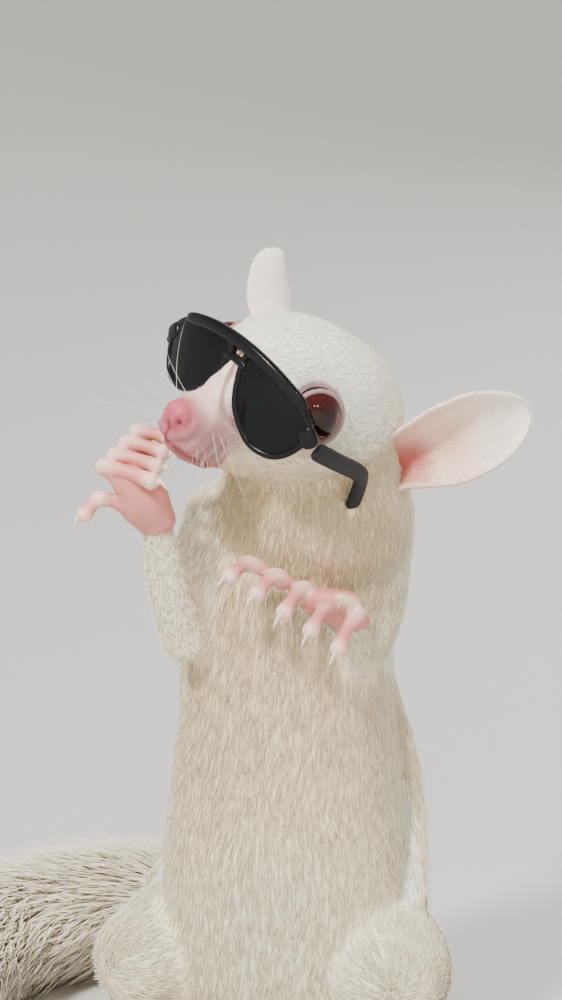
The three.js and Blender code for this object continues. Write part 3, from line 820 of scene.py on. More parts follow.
@dataclass
class Skin:
    """The one skin of the whole animal, from the rump to the tips of ears, digits and tail."""

    body: Layer = Layer("body", 0.5, 68_000)
    head: Layer = Layer("head", 0.24, 78_000)
    paws: Layer = Layer("paws", 0.24, 30_000)
    core_depth: float = 1.3
    forms: list[Form] = field(default_factory=body_forms)

    def __post_init__(self) -> None:
        """Adds the ears' stand-in tubes to the forms that points can belong to."""
        self.flesh = list(self.forms)
        self.forms = self.flesh + [ear.form() for ear in EARS]

    def build(self) -> Mesh:
        """Fuses the forms in three layers, whose borders lie under the coat, and joins them with the ears.

        Returns:
            The skin's mesh, in metres.
        """
        digits = [f for f in self.flesh if f.name.startswith(("hand", "foot"))]
        face = [f for f in self.flesh if f.of_head]
        rest = [f for f in self.flesh if f not in digits and f not in face]
        head = next(f for f in face if f.name == "head")
        core = replace(head, coat=replace(head.coat, inset=head.coat.inset + self.core_depth))
        lids = [lid_ring(sign) for _, sign in SIDES]
        parts = [
            self.fuse(self.body, [f.surface() for f in [*rest, core]]),
            self.fuse(self.head, [f.surface(64, 90) for f in face] + lids),
            self.fuse(self.paws, [f.surface(28, 40) for f in digits]),
        ]
        self.border = sum(len(part.vertices) for part in parts)
        ears = [ear.surface() for ear in EARS]
        self.ear_sizes = [len(ear.vertices) for ear in ears]
        return make_mesh("skin", join(parts + ears))

    def fuse(self, layer: Layer, parts: list[Surface]) -> Surface:
        """Fuses closed surfaces, softens their joins and thins the mesh where fur will cover it.

        Args:
            layer: how fine it is.
            parts: the surfaces.

        Returns:
            The fused surface.
        """
        raw = make_mesh("raw_" + layer.name, join(parts))
        fused = modified(raw, "REMESH", mode="VOXEL", voxel_size=layer.voxel * MM, use_smooth_shade=True)
        net = Net(fused)
        owner = belong(net.points, self.flesh)
        rounds = np.array([form.coat.smooth for form in self.flesh])[owner.label]
        rounds = net.relax(rounds[:, None].astype(float), 12)[:, 0]
        for turn in range(int(rounds.max()) + 1):
            share = np.clip(rounds - turn, 0, 1)[:, None] * 0.6
            net.points += share * (net.average(net.points) - net.points)
        weights = None
        if layer is self.head:
            self.carve(net)
            weights = np.round(1 - smoothstep(-2, 6, HEAD.into(net.points)[:, 0]), 1)
        net.points[:, 2] = np.maximum(net.points[:, 2], SKIN_FLOOR)
        net.store()
        fused.calc_loop_triangles()
        ratio = min(1.0, layer.most_triangles / len(fused.loop_triangles))
        log.info("%s: %d triangles, thinned by %.2f", layer.name, len(fused.loop_triangles), ratio)
        thin = modified(fused, "DECIMATE", weights=weights, ratio=ratio, use_collapse_triangulate=True)
        thin.calc_loop_triangles()
        return Surface(Net(thin).points, [Net.rows_of(thin.loop_triangles, "vertices", 3, np.int32)])

    def carve(self, net: Net) -> None:
        """Presses mouth, nostrils, the groove under the nose, sockets and folds into the skin.

        Args:
            net: the fused skin, whose points are moved.
        """
        normals = net.normals()
        local = HEAD.into(net.points)
        x, y, z = local.T
        above_mouth = z - self.mouth_height(x)
        on_face = smoothstep(6, 9, x) * (np.abs(y) < 9) * (np.abs(z) < 20)
        dent = bell(above_mouth, 0.36) * smoothstep(8.5, 11.5, x) * on_face
        dent -= 0.3 * bell(above_mouth - 0.9, 0.5) * smoothstep(9.5, 12.5, x) * on_face
        groove = 0.5 * bell(y, 0.26) * smoothstep(17.0, 18.2, x)
        dent += groove * smoothstep(-10, -9, z) * (1 - smoothstep(-6.4, -5.6, z))
        dent += 0.25 * bell(y, 0.22) * smoothstep(19.0, 20.0, x)
        for _, sign in SIDES:
            slit = [x - 20.3, (y - 1.55 * sign) * 1.2, (z + 5.2) * 0.8 + 0.35 * (y * sign - 1.55)]
            dent += 1.2 * bell(np.linalg.norm(np.stack(slit, -1), axis=1), 0.55)
            dent += 0.1 * bell(distance(local, EYE_PLACES[sign]) - 6.4, 0.6) * (x > -4)
            cheek = distance(local, (14.0, 4.0 * sign, -9.2))
            dent += 0.14 * self.furrows(x, z) * bell(cheek, 3.0)
            dent -= 0.10 * np.sin(x * 5.2) * np.sin(z * 5.2 + x) * bell(cheek, 3.4)
        net.points -= normals * dent[:, None]
        net.points = HEAD.out(SHADES.clear(HEAD.into(net.points)))

    @staticmethod
    def mouth_height(x: Array) -> Array:
        """The height of the mouth at each place along the head, a straight line that rises forwards."""
        return -11.9 + 0.25 * (x - 9)

    @staticmethod
    def furrows(x: Array, z: Array) -> Array:
        """The slanting folds of the muzzle, a wave between -1 and 1."""
        return np.sin(x * 3.1 + z * 1.9)

    def owners(self, points: Array) -> Belonging:
        """The form of every point, the ears' points being those after the fused layers.

        Args:
            points: the skin's points.

        Returns:
            What each belongs to.
        """
        found = [belong(points[: self.border], self.flesh)]
        start = self.border
        for number, (ear, size) in enumerate(zip(EARS, self.ear_sizes)):
            axis, face, side = ear.axes()
            local = HEAD.into(points[start : start + size]) - np.array(ear.at)
            turn = np.arctan2(local @ side, ear.half_width - local @ face)
            t = np.clip(local @ axis / ear.length, 0, 1)
            label = np.full(size, len(self.flesh) + number)
            found.append(Belonging(label, t, np.tile(HEAD.turn(axis), (size, 1)), turn))
            start += size
        keys = ("label", "t", "along", "angle")
        return Belonging(*(np.concatenate([getattr(part, key) for part in found]) for key in keys))

    def markings(self, points: Array, normals: Array, owner: Belonging) -> tuple[Array, Array]:
        """The colour and bareness of the skin and of the coat on it.

        Args:
            points: places on the skin, in millimetres.
            normals: the skin's outward directions there.
            owner: the forms that the places belong to.

        Returns:
            Rows of colour, and 1 where no fur grows down to 0 where it is full.
        """
        names = np.array([form.name for form in self.forms])[owner.label]
        tint = np.array([form.coat.tint for form in self.forms])[owner.label]
        bare = np.array([form.coat.cover == 0 for form in self.forms])[owner.label].astype(float)
        local = HEAD.into(points)
        x, _, z = local.T
        head = np.isin(names, ("head", "pad_left", "pad_right", "nose")).astype(float)
        trunk = np.isin(names, ("neck", "torso")).astype(float)
        front = smoothstep(-0.2, 0.8, -normals[:, 1]) * trunk
        lips = head * bell(z - self.mouth_height(x), 1.0) * smoothstep(9, 12, x)
        # The furrows' wave also sets where painted shade darkens the muzzle's creases.
        folds = 0.5 + 0.5 * self.furrows(x, z)
        nose = bell(distance(local, (19.6, 0, -4.9)), 2.9)
        washes = [
            # Chest, throat and underside of the head are painted warmer and creamier while the crown stays
            # whitest: partly the coat's own colour, partly painted shade underneath and painted light on top.
            (WARM_CREAM_AND_SHADE, 0.8 * front * smoothstep(30, 70, points[:, 2])),
            (CREAM, (names == "neck") * 0.75 * (1 - front)),
            (CREAM, head * np.maximum(smoothstep(5, -6, z), 0.7 * smoothstep(-4, -14, x))),
            (WARM_CREAM_AND_SHADE, head * smoothstep(-5, -13, z) * 0.75),
            (PALE_PINK, head * smoothstep(8, 12, x) * 0.7),
            (MUZZLE_PINK, head * smoothstep(9.5, 14, x) * smoothstep(1, -5, z) * 0.9),
            # Mauve on the furrows of the muzzle: painted shade in its creases.
            (MAUVE, 0.5 * folds * head * smoothstep(9.5, 13, x) * smoothstep(-4, -8, z)),
            (LIP_PINK, lips),
            (NOSE_PINK, 1.6 * nose * smoothstep(16.5, 18, x)),
        ]
        bare = np.maximum(bare, np.maximum(0.9 * lips, 1.6 * nose * smoothstep(17, 18, x)))
        for at in EYE_PLACES.values():
            washes.append((MAUVE, 0.9 * smoothstep(5.1, 4.85, distance(local, at)) * head))
            bare = np.maximum(bare, smoothstep(5.0, 4.85, distance(local, at)) * head)
        for ear in EARS:
            _, face, _ = ear.axes()
            own = names == ear.name
            inner = smoothstep(-0.1, 0.4, normals @ HEAD.turn(face)) * own
            slant = np.sin(11 * owner.t + 2.5 * owner.angle)
            patches = 0.75 + 0.25 * slant * np.sin(4 * owner.angle - 5 * owner.t)
            middle = bell(owner.angle - 0.1, 1.1) * patches
            canal = smoothstep(0.36, 0.1, owner.t) * bell(owner.angle - 0.2, 0.6)
            washes += [
                (EAR_IN, inner * middle * (1 - 0.9 * smoothstep(0.35, 0.8, owner.t))),
                (EAR_DEEP, inner * canal),
                (WHITE, own * 0.6 * smoothstep(0.5, 1, owner.t)),
                (CREAM, own * (1 - inner) * smoothstep(0.4, 0.0, owner.t)),
            ]
            bare = np.maximum(bare, 0.55 * inner)
        digits = np.char.find(names.astype(str), "digit") >= 0
        joints = bell(owner.t - 0.4, 0.1) + smoothstep(0.8, 1, owner.t)
        washes.append((PALE_PINK, digits * np.clip(joints, 0, 1) * 0.95))
        for colour, share in washes:
            tint = blend(tint, colour, share)
        return tint, np.clip(bare, 0, 1)

    def dress(self, mesh: Mesh) -> "Ground":
        """Paints the skin and works out what the coat needs to know of it.

        Args:
            mesh: the thinned skin.

        Returns:
            The ground that the coat grows on.
        """
        net = Net(mesh)
        owner = self.owners(net.points)
        normals = net.normals()
        tint, bare = self.markings(net.points, normals, owner)
        tint = net.relax(tint, 2)
        # Where fur grows, the skin is painted 8% darker than where it is bare: painted shade under the coat.
        paint(mesh, tint * (0.92 + 0.08 * bare[:, None]))
        table = np.array([(c.length, c.width, c.lift, c.cover) for c in (form.coat for form in self.forms)])
        growth = net.relax(table[owner.label], 6)
        signs = np.array([-1.0 if form.coat.backwards else 1.0 for form in self.forms])[owner.label]
        lie = net.relax(owner.along * signs[:, None], 14)
        growth[:, 3] *= 1 - bare
        short = self.shortness(net.points)
        growth[:, :2] *= short[:, None]
        growth[:, 3] /= short**1.3
        for at in EYE_PLACES.values():
            growth[:, 2] += 0.6 * bell(distance(HEAD.into(net.points), at) - 5.6, 0.7)
        return Ground(net, normals, owner, tint, growth, lie)

    @staticmethod
    def shortness(points: Array) -> Array:
        """How much shorter and finer the fur is near the nose, lips and eyes than on the rest of the head."""
        local = HEAD.into(points)
        away = smoothstep(19, 4, local[:, 0])
        scale = np.where(np.abs(local[:, 2]) < 24, 0.42 + 0.58 * away, 1)
        for at in EYE_PLACES.values():
            scale = scale * (0.62 + 0.38 * smoothstep(5.0, 7.0, distance(local, at)))
        return scale


@dataclass
class Ground:
    """The skin as the coat sees it, with a row for each vertex: growth is length, width, lift and cover."""

    net: Net
    normals: Array
    owner: Belonging
    tint: Array
    growth: Array
    lie: Array


@dataclass
class Fur:
    """The coat: thin tapered tufts rooted all over the skin, which follow its lie."""

    tufts: int = 142_000
    piece_tufts: int = 18_000
    rings: tuple[float, ...] = (0.0, 0.45)
    taper: tuple[float, ...] = (1.0, 0.78)
    patch: float = 0.003
    root_depth: float = 0.06
    droop: float = 0.45
    stray: float = 0.06
    lengths: tuple[float, float] = (0.72, 1.18)
    widths: tuple[float, float] = (0.75, 1.2)
    lifts: tuple[float, float] = (0.55, 1.45)

    def roots(self, ground: Ground, random: np.random.Generator) -> dict[str, Array]:
        """Spreads roots evenly over the skin, in steps of equal covered area with a seeded jitter.

        Args:
            ground: the skin.
            random: the seeded generator.

        Returns:
            Arrays by name, a row for each root.
        """
        mesh = ground.net.mesh
        mesh.calc_loop_triangles()
        triangles = Net.rows_of(mesh.loop_triangles, "vertices", 3, np.int32)
        corners = ground.net.points[triangles]
        a, b, c = corners.transpose(1, 0, 2)
        area = np.linalg.norm(np.cross(b - a, c - a), axis=1) / 2
        weight = np.cumsum(area * ground.growth[triangles, 3].mean(1))
        count = self.tufts
        steps = (np.arange(count) + random.random(count)) / count * weight[-1]
        chosen = triangles[np.minimum(np.searchsorted(weight, steps), len(triangles) - 1)]
        u, v = random.random((2, count))
        over = u + v > 1
        u, v = np.where(over, 1 - u, u), np.where(over, 1 - v, v)
        shares = np.stack([1 - u - v, u, v], -1)[..., None]
        fields = {"point": ground.net.points, "normal": ground.normals}
        fields |= {key: getattr(ground, key) for key in ("tint", "growth", "lie")}
        made = {key: (values[chosen] * shares).sum(1) for key, values in fields.items()}
        for key in ("label", "t", "angle"):
            made[key] = getattr(ground.owner, key)[chosen[:, 0]]
        return made

    def sheet(self, roots: dict[str, Array]) -> Array:
        """Each root's place on an unwrap of the skin: along its form, and round it in the form's own band."""
        counts = np.bincount(roots["label"], minlength=int(roots["label"].max()) + 1).astype(float)
        edges = np.concatenate([[0], np.cumsum(counts + 1) / (counts + 1).sum()])
        low, high = edges[roots["label"]], edges[roots["label"] + 1]
        turn = (roots["angle"] / (2 * math.pi) + 0.5) % 1
        inside = np.maximum(high - low - 2 * self.patch, 0)
        return np.stack([0.01 + 0.97 * roots["t"], low + self.patch + turn * inside], -1)

    def build(self, ground: Ground, finish: Material) -> None:
        """Grows the coat and places it in pieces.

        Each tuft's middle line is root + lie L s + normal lift L s (1 - droop s) + across sway L s², with s
        from 0 to 1, and its section is a flat triangle that narrows to a point.

        Args:
            ground: the skin.
            finish: the coat's material.
        """
        random = np.random.default_rng(SEED)
        roots = self.roots(ground, random)
        keep = ~SHADES.covers(HEAD.into(roots["point"]))
        roots = {key: values[keep] for key, values in roots.items()}
        order = np.argsort(roots["label"], kind="stable")
        roots = {key: values[order] for key, values in roots.items()}
        vertices, tints, places = self.grow(roots, random)
        template = self.faces()
        for number, start in enumerate(range(0, len(vertices), self.piece_tufts)):
            part = slice(start, start + self.piece_tufts)
            count = len(vertices[part])
            faces = (template + np.arange(count)[:, None, None] * vertices.shape[1]).reshape(-1, 3)
            mesh = make_mesh(f"coat_{number + 1}", Surface(vertices[part].reshape(-1, 3), [faces]))
            paint(mesh, tints[part].reshape(-1, 3))
            layer = mesh.uv_layers.new(name="OFBake")
            corners = places[part].reshape(-1, 2)[faces.ravel()]
            layer.data.foreach_set("uv", corners.astype(np.float32).ravel())
            place(f"coat_{number + 1}", mesh, finish, "fur_cream")

    def grow(self, roots: dict[str, Array], random: np.random.Generator) -> tuple[Array, Array, Array]:
        """The vertices, colours and sheet places of every tuft.

        Args:
            roots: arrays by name, a row for each root.
            random: the seeded generator.

        Returns:
            Arrays of tufts by vertices by three, three and two.
        """
        count = len(roots["point"])
        normal = unit(roots["normal"])
        length, width, lift, _ = roots["growth"].T
        waves = roots["point"] @ np.array([[0.31, 0.12, -0.22], [-0.14, 0.27, 0.19], [0.21, -0.17, 0.30]])
        sway = 0.05 * np.sin(waves).sum(1) + 0.09 * random.standard_normal(count)
        lie = roots["lie"] - (roots["lie"] * normal).sum(1, keepdims=True) * normal
        lie = unit(lie + self.stray * random.standard_normal((count, 3)))
        across = unit(np.cross(normal, lie))
        length = length * random.uniform(*self.lengths, count)
        width = width * random.uniform(*self.widths, count)
        lift = lift * random.uniform(*self.lifts, count)
        s = np.array([*self.rings, 1.0])
        rise = (lift * length)[:, None] * s * (1 - self.droop * s) - self.root_depth
        middle = roots["point"][:, None] + (length[:, None] * s)[..., None] * lie[:, None]
        middle = middle + rise[..., None] * normal[:, None]
        middle = middle + ((sway * length)[:, None] * s**2)[..., None] * across[:, None]
        corner = np.array([(-1.0, 0.0), (1.0, 0.0), (0.0, 0.75)])
        section = corner[:, :1, None] * across.T + corner[:, 1:, None] * normal.T
        section = section.transpose(2, 0, 1) * width[:, None, None]
        rows = len(self.rings)
        rings = middle[:, :rows, None] + np.array(self.taper)[None, :, None, None] * section[:, None]
        vertices = np.concatenate([rings.reshape(count, 3 * rows, 3), middle[:, rows:]], axis=1)
        vertices[..., 2] = np.maximum(vertices[..., 2], DETAIL_FLOOR)
        repeats = [3] * rows + [1]
        # Each tuft is painted a little darker at its root and lighter at its tip: painted shade between the
        # tufts and painted light on their ends.
        shade = np.repeat(np.linspace(0.98, 1.04, rows + 1), repeats)
        vary = 1 + 0.04 * random.standard_normal(count)
        tints = roots["tint"][:, None] * shade[None, :, None] * vary[:, None, None]
        sideways = np.append(np.tile(corner[:, 0] * 0.5, rows), 0)
        local = np.stack([sideways, np.repeat(s, repeats) - 0.5], -1)
        places = self.sheet(roots)[:, None] + local[None] * self.patch
        return vertices, tints, places

    def faces(self) -> Array:
        """The triangles of one tuft: six between rings, three at the tip and one that closes the root."""
        bands = grid_faces(len(self.rings), 3)
        split = np.vstack([bands[:, [0, 1, 2]], bands[:, [0, 2, 3]]])
        last = 3 * len(self.rings)
        tip = np.array([(last - 3, last - 2, last), (last - 2, last - 1, last), (last - 1, last - 3, last)])
        return np.vstack([split, tip, [(0, 2, 1)]])


class Socket:
    """A node's output that takes part in arithmetic, where each operation adds a Math node."""

    def __init__(self, shader: "Shader", link: bpy.types.NodeSocket) -> None:
        """Wraps an output of one of the shader's nodes."""
        self.shader = shader
        self.link = link

    def _math(self, operation: str, first: Any, second: Any) -> "Socket":
        """One Math node on two values."""
        return self.shader.node("ShaderNodeMath", {"operation": operation}, {0: first, 1: second})

    def __add__(self, other: Any) -> "Socket":
        """The sum."""
        return self._math("ADD", self, other)

    def __sub__(self, other: Any) -> "Socket":
        """The difference."""
        return self._math("SUBTRACT", self, other)

    def __rsub__(self, other: Any) -> "Socket":
        """The difference, the other way round."""
        return self._math("SUBTRACT", other, self)

    def __mul__(self, other: Any) -> "Socket":
        """The product."""
        return self._math("MULTIPLY", self, other)

    __radd__ = __add__
    __rmul__ = __mul__


class Shader:
    """A material under construction."""

    def __init__(self, name: str) -> None:
        """Starts a material that holds a Principled shader."""
        self.material = bpy.data.materials.new(name)
        self.material.use_nodes = True
        self.tree = self.material.node_tree
        self.surface = next(n for n in self.tree.nodes if n.type == "BSDF_PRINCIPLED")

    def node(
        self,
        kind: str,
        settings: dict[str, Any] | None = None,
        inputs: dict[Any, Any] | None = None,
        output: Any = 0,
    ) -> Socket:
        """Adds a node.

        Args:
            kind: the node's type.
            settings: its settings, which are set first.
            inputs: values or links by socket name or number.
            output: the name or number of the output to return.

        Returns:
            That output.
        """
        made = self.tree.nodes.new(kind)
        for key, value in (settings or {}).items():
            setattr(made, key, value)
        for key, value in (inputs or {}).items():
            self._feed(made.inputs[key], value)
        return Socket(self, made.outputs[output])

    def _feed(self, socket: bpy.types.NodeSocket, value: Any) -> None:
        """Links or sets one input."""
        if isinstance(value, Socket):
            self.tree.links.new(value.link, socket)
        else:
            socket.default_value = value

    def set(self, **values: Any) -> None:
        """Sets or links the Principled shader's inputs, named with underscores for spaces."""
        for key, value in values.items():
            self._feed(self.surface.inputs[key.replace("_", " ")], value)

    def noise(self, scale: float, detail: float = 3.0) -> Socket:
        """Noise on the object's own coordinates, from 0 to 1."""
        where = self.node("ShaderNodeTexCoord", output="Object")
        inputs = {"Vector": where, "Scale": scale, "Detail": detail}
        return self.node("ShaderNodeTexNoise", None, inputs, "Fac")

    def mix(self, first: Any, second: Any, share: Any, way: str = "MIX") -> Socket:
        """Two colours mixed, or multiplied where way says so."""
        settings = {"data_type": "RGBA", "blend_type": way}
        return self.node("ShaderNodeMix", settings, {0: share, 6: first, 7: second}, 2)

    def tinted(self, variation: Socket, low: float, high: float) -> Socket:
        """The painted colour, darkened and lightened by a pattern."""
        painted = self.node("ShaderNodeAttribute", {"attribute_name": "tint"}, output="Color")
        levels = {k: variation * (high - low) + low for k in range(3)}
        grey = self.node("ShaderNodeCombineColor", None, levels)
        return self.mix(painted, grey, 1.0, "MULTIPLY")

    def bump(self, height: Socket, strength: float, distance: float) -> None:
        """Feeds a height through a Bump node into the normal."""
        inputs = {"Height": height, "Strength": strength, "Distance": distance}
        self.set(Normal=self.node("ShaderNodeBump", None, inputs))


@dataclass(frozen=True)
class SkinFinish:
    """Soft skin with fine creases, a little light passing through it."""

    mottle_scale: float = 420.0
    crease_scale: float = 1500.0
    crease_depth: float = 0.00012
    softness: float = 0.22
    depth: float = 0.0016
    reach: Colour = (1.0, 0.35, 0.2)

    def material(self) -> Material:
        """Painted colour with mottling, and a bump of pores and creases."""
        shader = Shader("skin")
        mottle = shader.noise(self.mottle_scale)
        crease = shader.noise(self.crease_scale, 5.0)
        shader.set(Base_Color=shader.tinted(mottle, 0.78, 1.18), Roughness=mottle * 0.2 + 0.42)
        shader.set(Subsurface_Weight=self.softness, Subsurface_Scale=self.depth, Subsurface_Radius=self.reach)
        shader.bump(crease, 0.5, self.crease_depth)
        return shader.material


@dataclass(frozen=True)
class FurFinish:
    """Pale dense fur."""

    drift_scale: float = 60.0
    sheen: float = 0.25
    softness: float = 0.45
    depth: float = 0.0020
    reach: Colour = (1.0, 0.92, 0.78)

    def material(self) -> Material:
        """Painted colour with a faint drift over the body, and a soft sheen."""
        shader = Shader("fur")
        drift = shader.noise(self.drift_scale)
        shader.set(Base_Color=shader.tinted(drift, 0.93, 1.05), Roughness=drift * 0.1 + 0.72)
        shader.set(Sheen_Weight=self.sheen, Sheen_Roughness=0.5, Specular_IOR_Level=0.2)
        shader.set(Subsurface_Weight=self.softness, Subsurface_Scale=self.depth, Subsurface_Radius=self.reach)
        return shader.material


@dataclass(frozen=True)
class EyeFinish:
    """A wet dark red-brown eye."""

    def material(self) -> Material:
        """Painted colour under a clear coat."""
        shader = Shader("eye")
        grain = shader.noise(1800.0)
        shader.set(Base_Color=shader.tinted(grain, 0.8, 1.2), Roughness=grain * 0.05 + 0.04)
        shader.set(Coat_Weight=0.35, Coat_Roughness=0.02, Specular_IOR_Level=0.15)
        return shader.material


@dataclass(frozen=True)
class HornFinish:
    """Pale horn of claws, or the shaft of a whisker."""

    name: str
    colour: Colour
    roughness: float

    def material(self) -> Material:
        """A cloudy colour with fine growth lines."""
        shader = Shader(self.name)
        cloud = shader.noise(900.0)
        dark = (*(c * 0.75 for c in self.colour), 1.0)
        shader.set(Base_Color=shader.mix(dark, (*self.colour, 1.0), cloud))
        shader.set(Roughness=cloud * 0.15 + self.roughness)
        shader.set(Subsurface_Weight=0.2, Subsurface_Scale=0.0006)
        shader.bump(shader.noise(5200.0), 0.15, 0.00003)
        return shader.material


class Plastic(Enum):
    """The three plastics of the sunglasses: colour, roughness, clear coat and how rubbed they are."""

    FRAME = ((0.003, 0.003, 0.004), 0.20, 0.08, 0.12)
    TEMPLE = ((0.010, 0.010, 0.011), 0.36, 0.0, 0.22)
    LENS = ((0.0015, 0.0025, 0.0025), 0.06, 0.0, 0.03)


@dataclass(frozen=True)
class PlasticFinish:
    """Moulded plastic with smears and a faint orange-peel surface."""

    kind: Plastic

    def material(self) -> Material:
        """Dark plastic whose roughness drifts with smears."""
        colour, roughness, coat, wear = self.kind.value
        shader = Shader("plastic_" + self.kind.name.lower())
        smear = shader.noise(260.0, 4.0)
        lighter = (*(c * 2.2 + 0.002 for c in colour), 1.0)
        shader.set(Base_Color=shader.mix((*colour, 1.0), lighter, smear * 0.6))
        shader.set(Roughness=smear * wear + roughness)
        shader.set(Coat_Weight=coat, Coat_Roughness=0.03, Specular_IOR_Level=0.14)
        shader.bump(shader.noise(900.0), 0.06, 0.00005)
        return shader.material


RUBY: Colour = (0.036, 0.007, 0.006)
PUPIL: Colour = (0.016, 0.004, 0.004)
DARK_EDGE: Colour = (0.02, 0.006, 0.006)


@dataclass
class Eyes:
    """Two globes with a slightly raised, darker middle."""

    columns: int = 64
    rows: int = 40

    def build(self, finish: Material) -> None:
        """Places both eyes.

        Args:
            finish: their material.
        """
        for side, sign in SIDES:
            look, across, rise = eye_axes(sign)
            polar = np.linspace(0.01, math.pi - 0.01, self.rows)
            turn = full_turn(self.columns)
            radius = EYE_RADIUS + 0.22 * bell(polar, 0.75)
            out = np.cos(polar)[:, None, None] * look
            round_it = np.cos(turn)[None, :, None] * across + np.sin(turn)[None, :, None] * rise
            rings = EYE_PLACES[sign] + radius[:, None, None] * (out + np.sin(polar)[:, None, None] * round_it)
            mesh = make_mesh("eye_" + side, capped_on_head(rings))
            angle = np.append(np.repeat(polar, self.columns), [0, math.pi])
            tint = np.tile(np.array(RUBY), (len(angle), 1))
            tint = blend(tint, PUPIL, smoothstep(0.62, 0.40, angle))
            tint = blend(tint, DARK_EDGE, smoothstep(0.95, 1.15, angle))
            paint(mesh, tint)
            place("globe_" + side, mesh, finish, "eye_ruby", "eye_" + side)


@dataclass
class Claws:
    """Hooked claws at the tips of the digits."""

    sections: int = 12
    sides: int = 12

    def build(self, finish: Material) -> None:
        """Places the claws of each paw as one piece.

        Args:
            finish: their material.
        """
        for paw in PAWS:
            parts = [self.claw(paw, i) for i in range(DIGITS) if i != paw.bare]
            place("claws_" + paw.name, make_mesh("claws_" + paw.name, join(parts)), finish, "skin_pink")

    def claw(self, paw: Paw, i: int) -> Surface:
        """A claw along a bent line, whose section narrows as the root of the distance to its point.

        Args:
            paw: the hand or foot.
            i: which digit.

        Returns:
            The closed claw.
        """
        _, knuckle, tip = paw.points(i)
        aim = unit(tip - knuckle)
        start = tip + aim * 0.6
        bend = start + aim * 1.1 + np.array([0, 0, 0.25])
        point = bend + aim * 0.6 + np.array(paw.hook) * 0.75
        t = np.linspace(0, 1, self.sections)
        line = spline(np.array([start, (start + bend) / 2 + np.array([0, 0, 0.15]), bend, point]), t)
        radius = 0.62 * np.sqrt(1 - t) * (1 - 0.25 * t) + 0.03
        rings = tube(line, radius, self.sides, (0.1, 0.2, 1.0), width=0.75)
        rings[..., 2] = np.maximum(rings[..., 2], DETAIL_FLOOR)
        return capped(rings)


@dataclass
class Whiskers:
    """Long fine hairs from the pads beside the nose."""

    per_side: int = 13
    thickness: float = 0.028

    def build(self, finish: Material) -> None:
        """Places all whiskers as one piece.

        Args:
            finish: their material.
        """
        random = np.random.default_rng(SEED + 1)
        parts = [self.hair(sign, i, random) for _, sign in SIDES for i in range(self.per_side)]
        place("whiskers", make_mesh("whiskers", join(parts)), finish, "fur_cream")

    def hair(self, sign: int, i: int, random: np.random.Generator) -> Surface:
        """One whisker, a line that bends back by the square of its length, as a thin tapered tube.

        Args:
            sign: 1 on the left side, where they hang below the lens, and -1 on the right.
            i: its number, which sets its row and place in the row.
            random: the seeded generator.

        Returns:
            The closed tube.
        """
        row, spot = i % 4, i // 4
        root = np.array([16.6 - 1.1 * spot, sign * (3.3 + 0.35 * spot), -4.9 - 1.25 * row])
        spread = np.array([0.45 - 0.2 * spot, 0.9, 0.28 - 0.26 * row])
        if sign > 0:
            spread = np.array([0.30 - 0.12 * spot, 0.42, -0.35 - 0.16 * row])
        aim = unit((spread + 0.26 * random.standard_normal(3)) * np.array([1, sign, 1]))
        length = random.uniform(10, 23) * (0.8 + 0.1 * spot)
        s = np.linspace(0, 1, 14)[:, None]
        line = root + length * s * aim + length * s**2 * np.array([-0.38, 0, -0.14])
        return capped(tube(HEAD.out(line), self.thickness * (1.05 - s[:, 0]), 5, (0.3, 0.1, 1.0)))


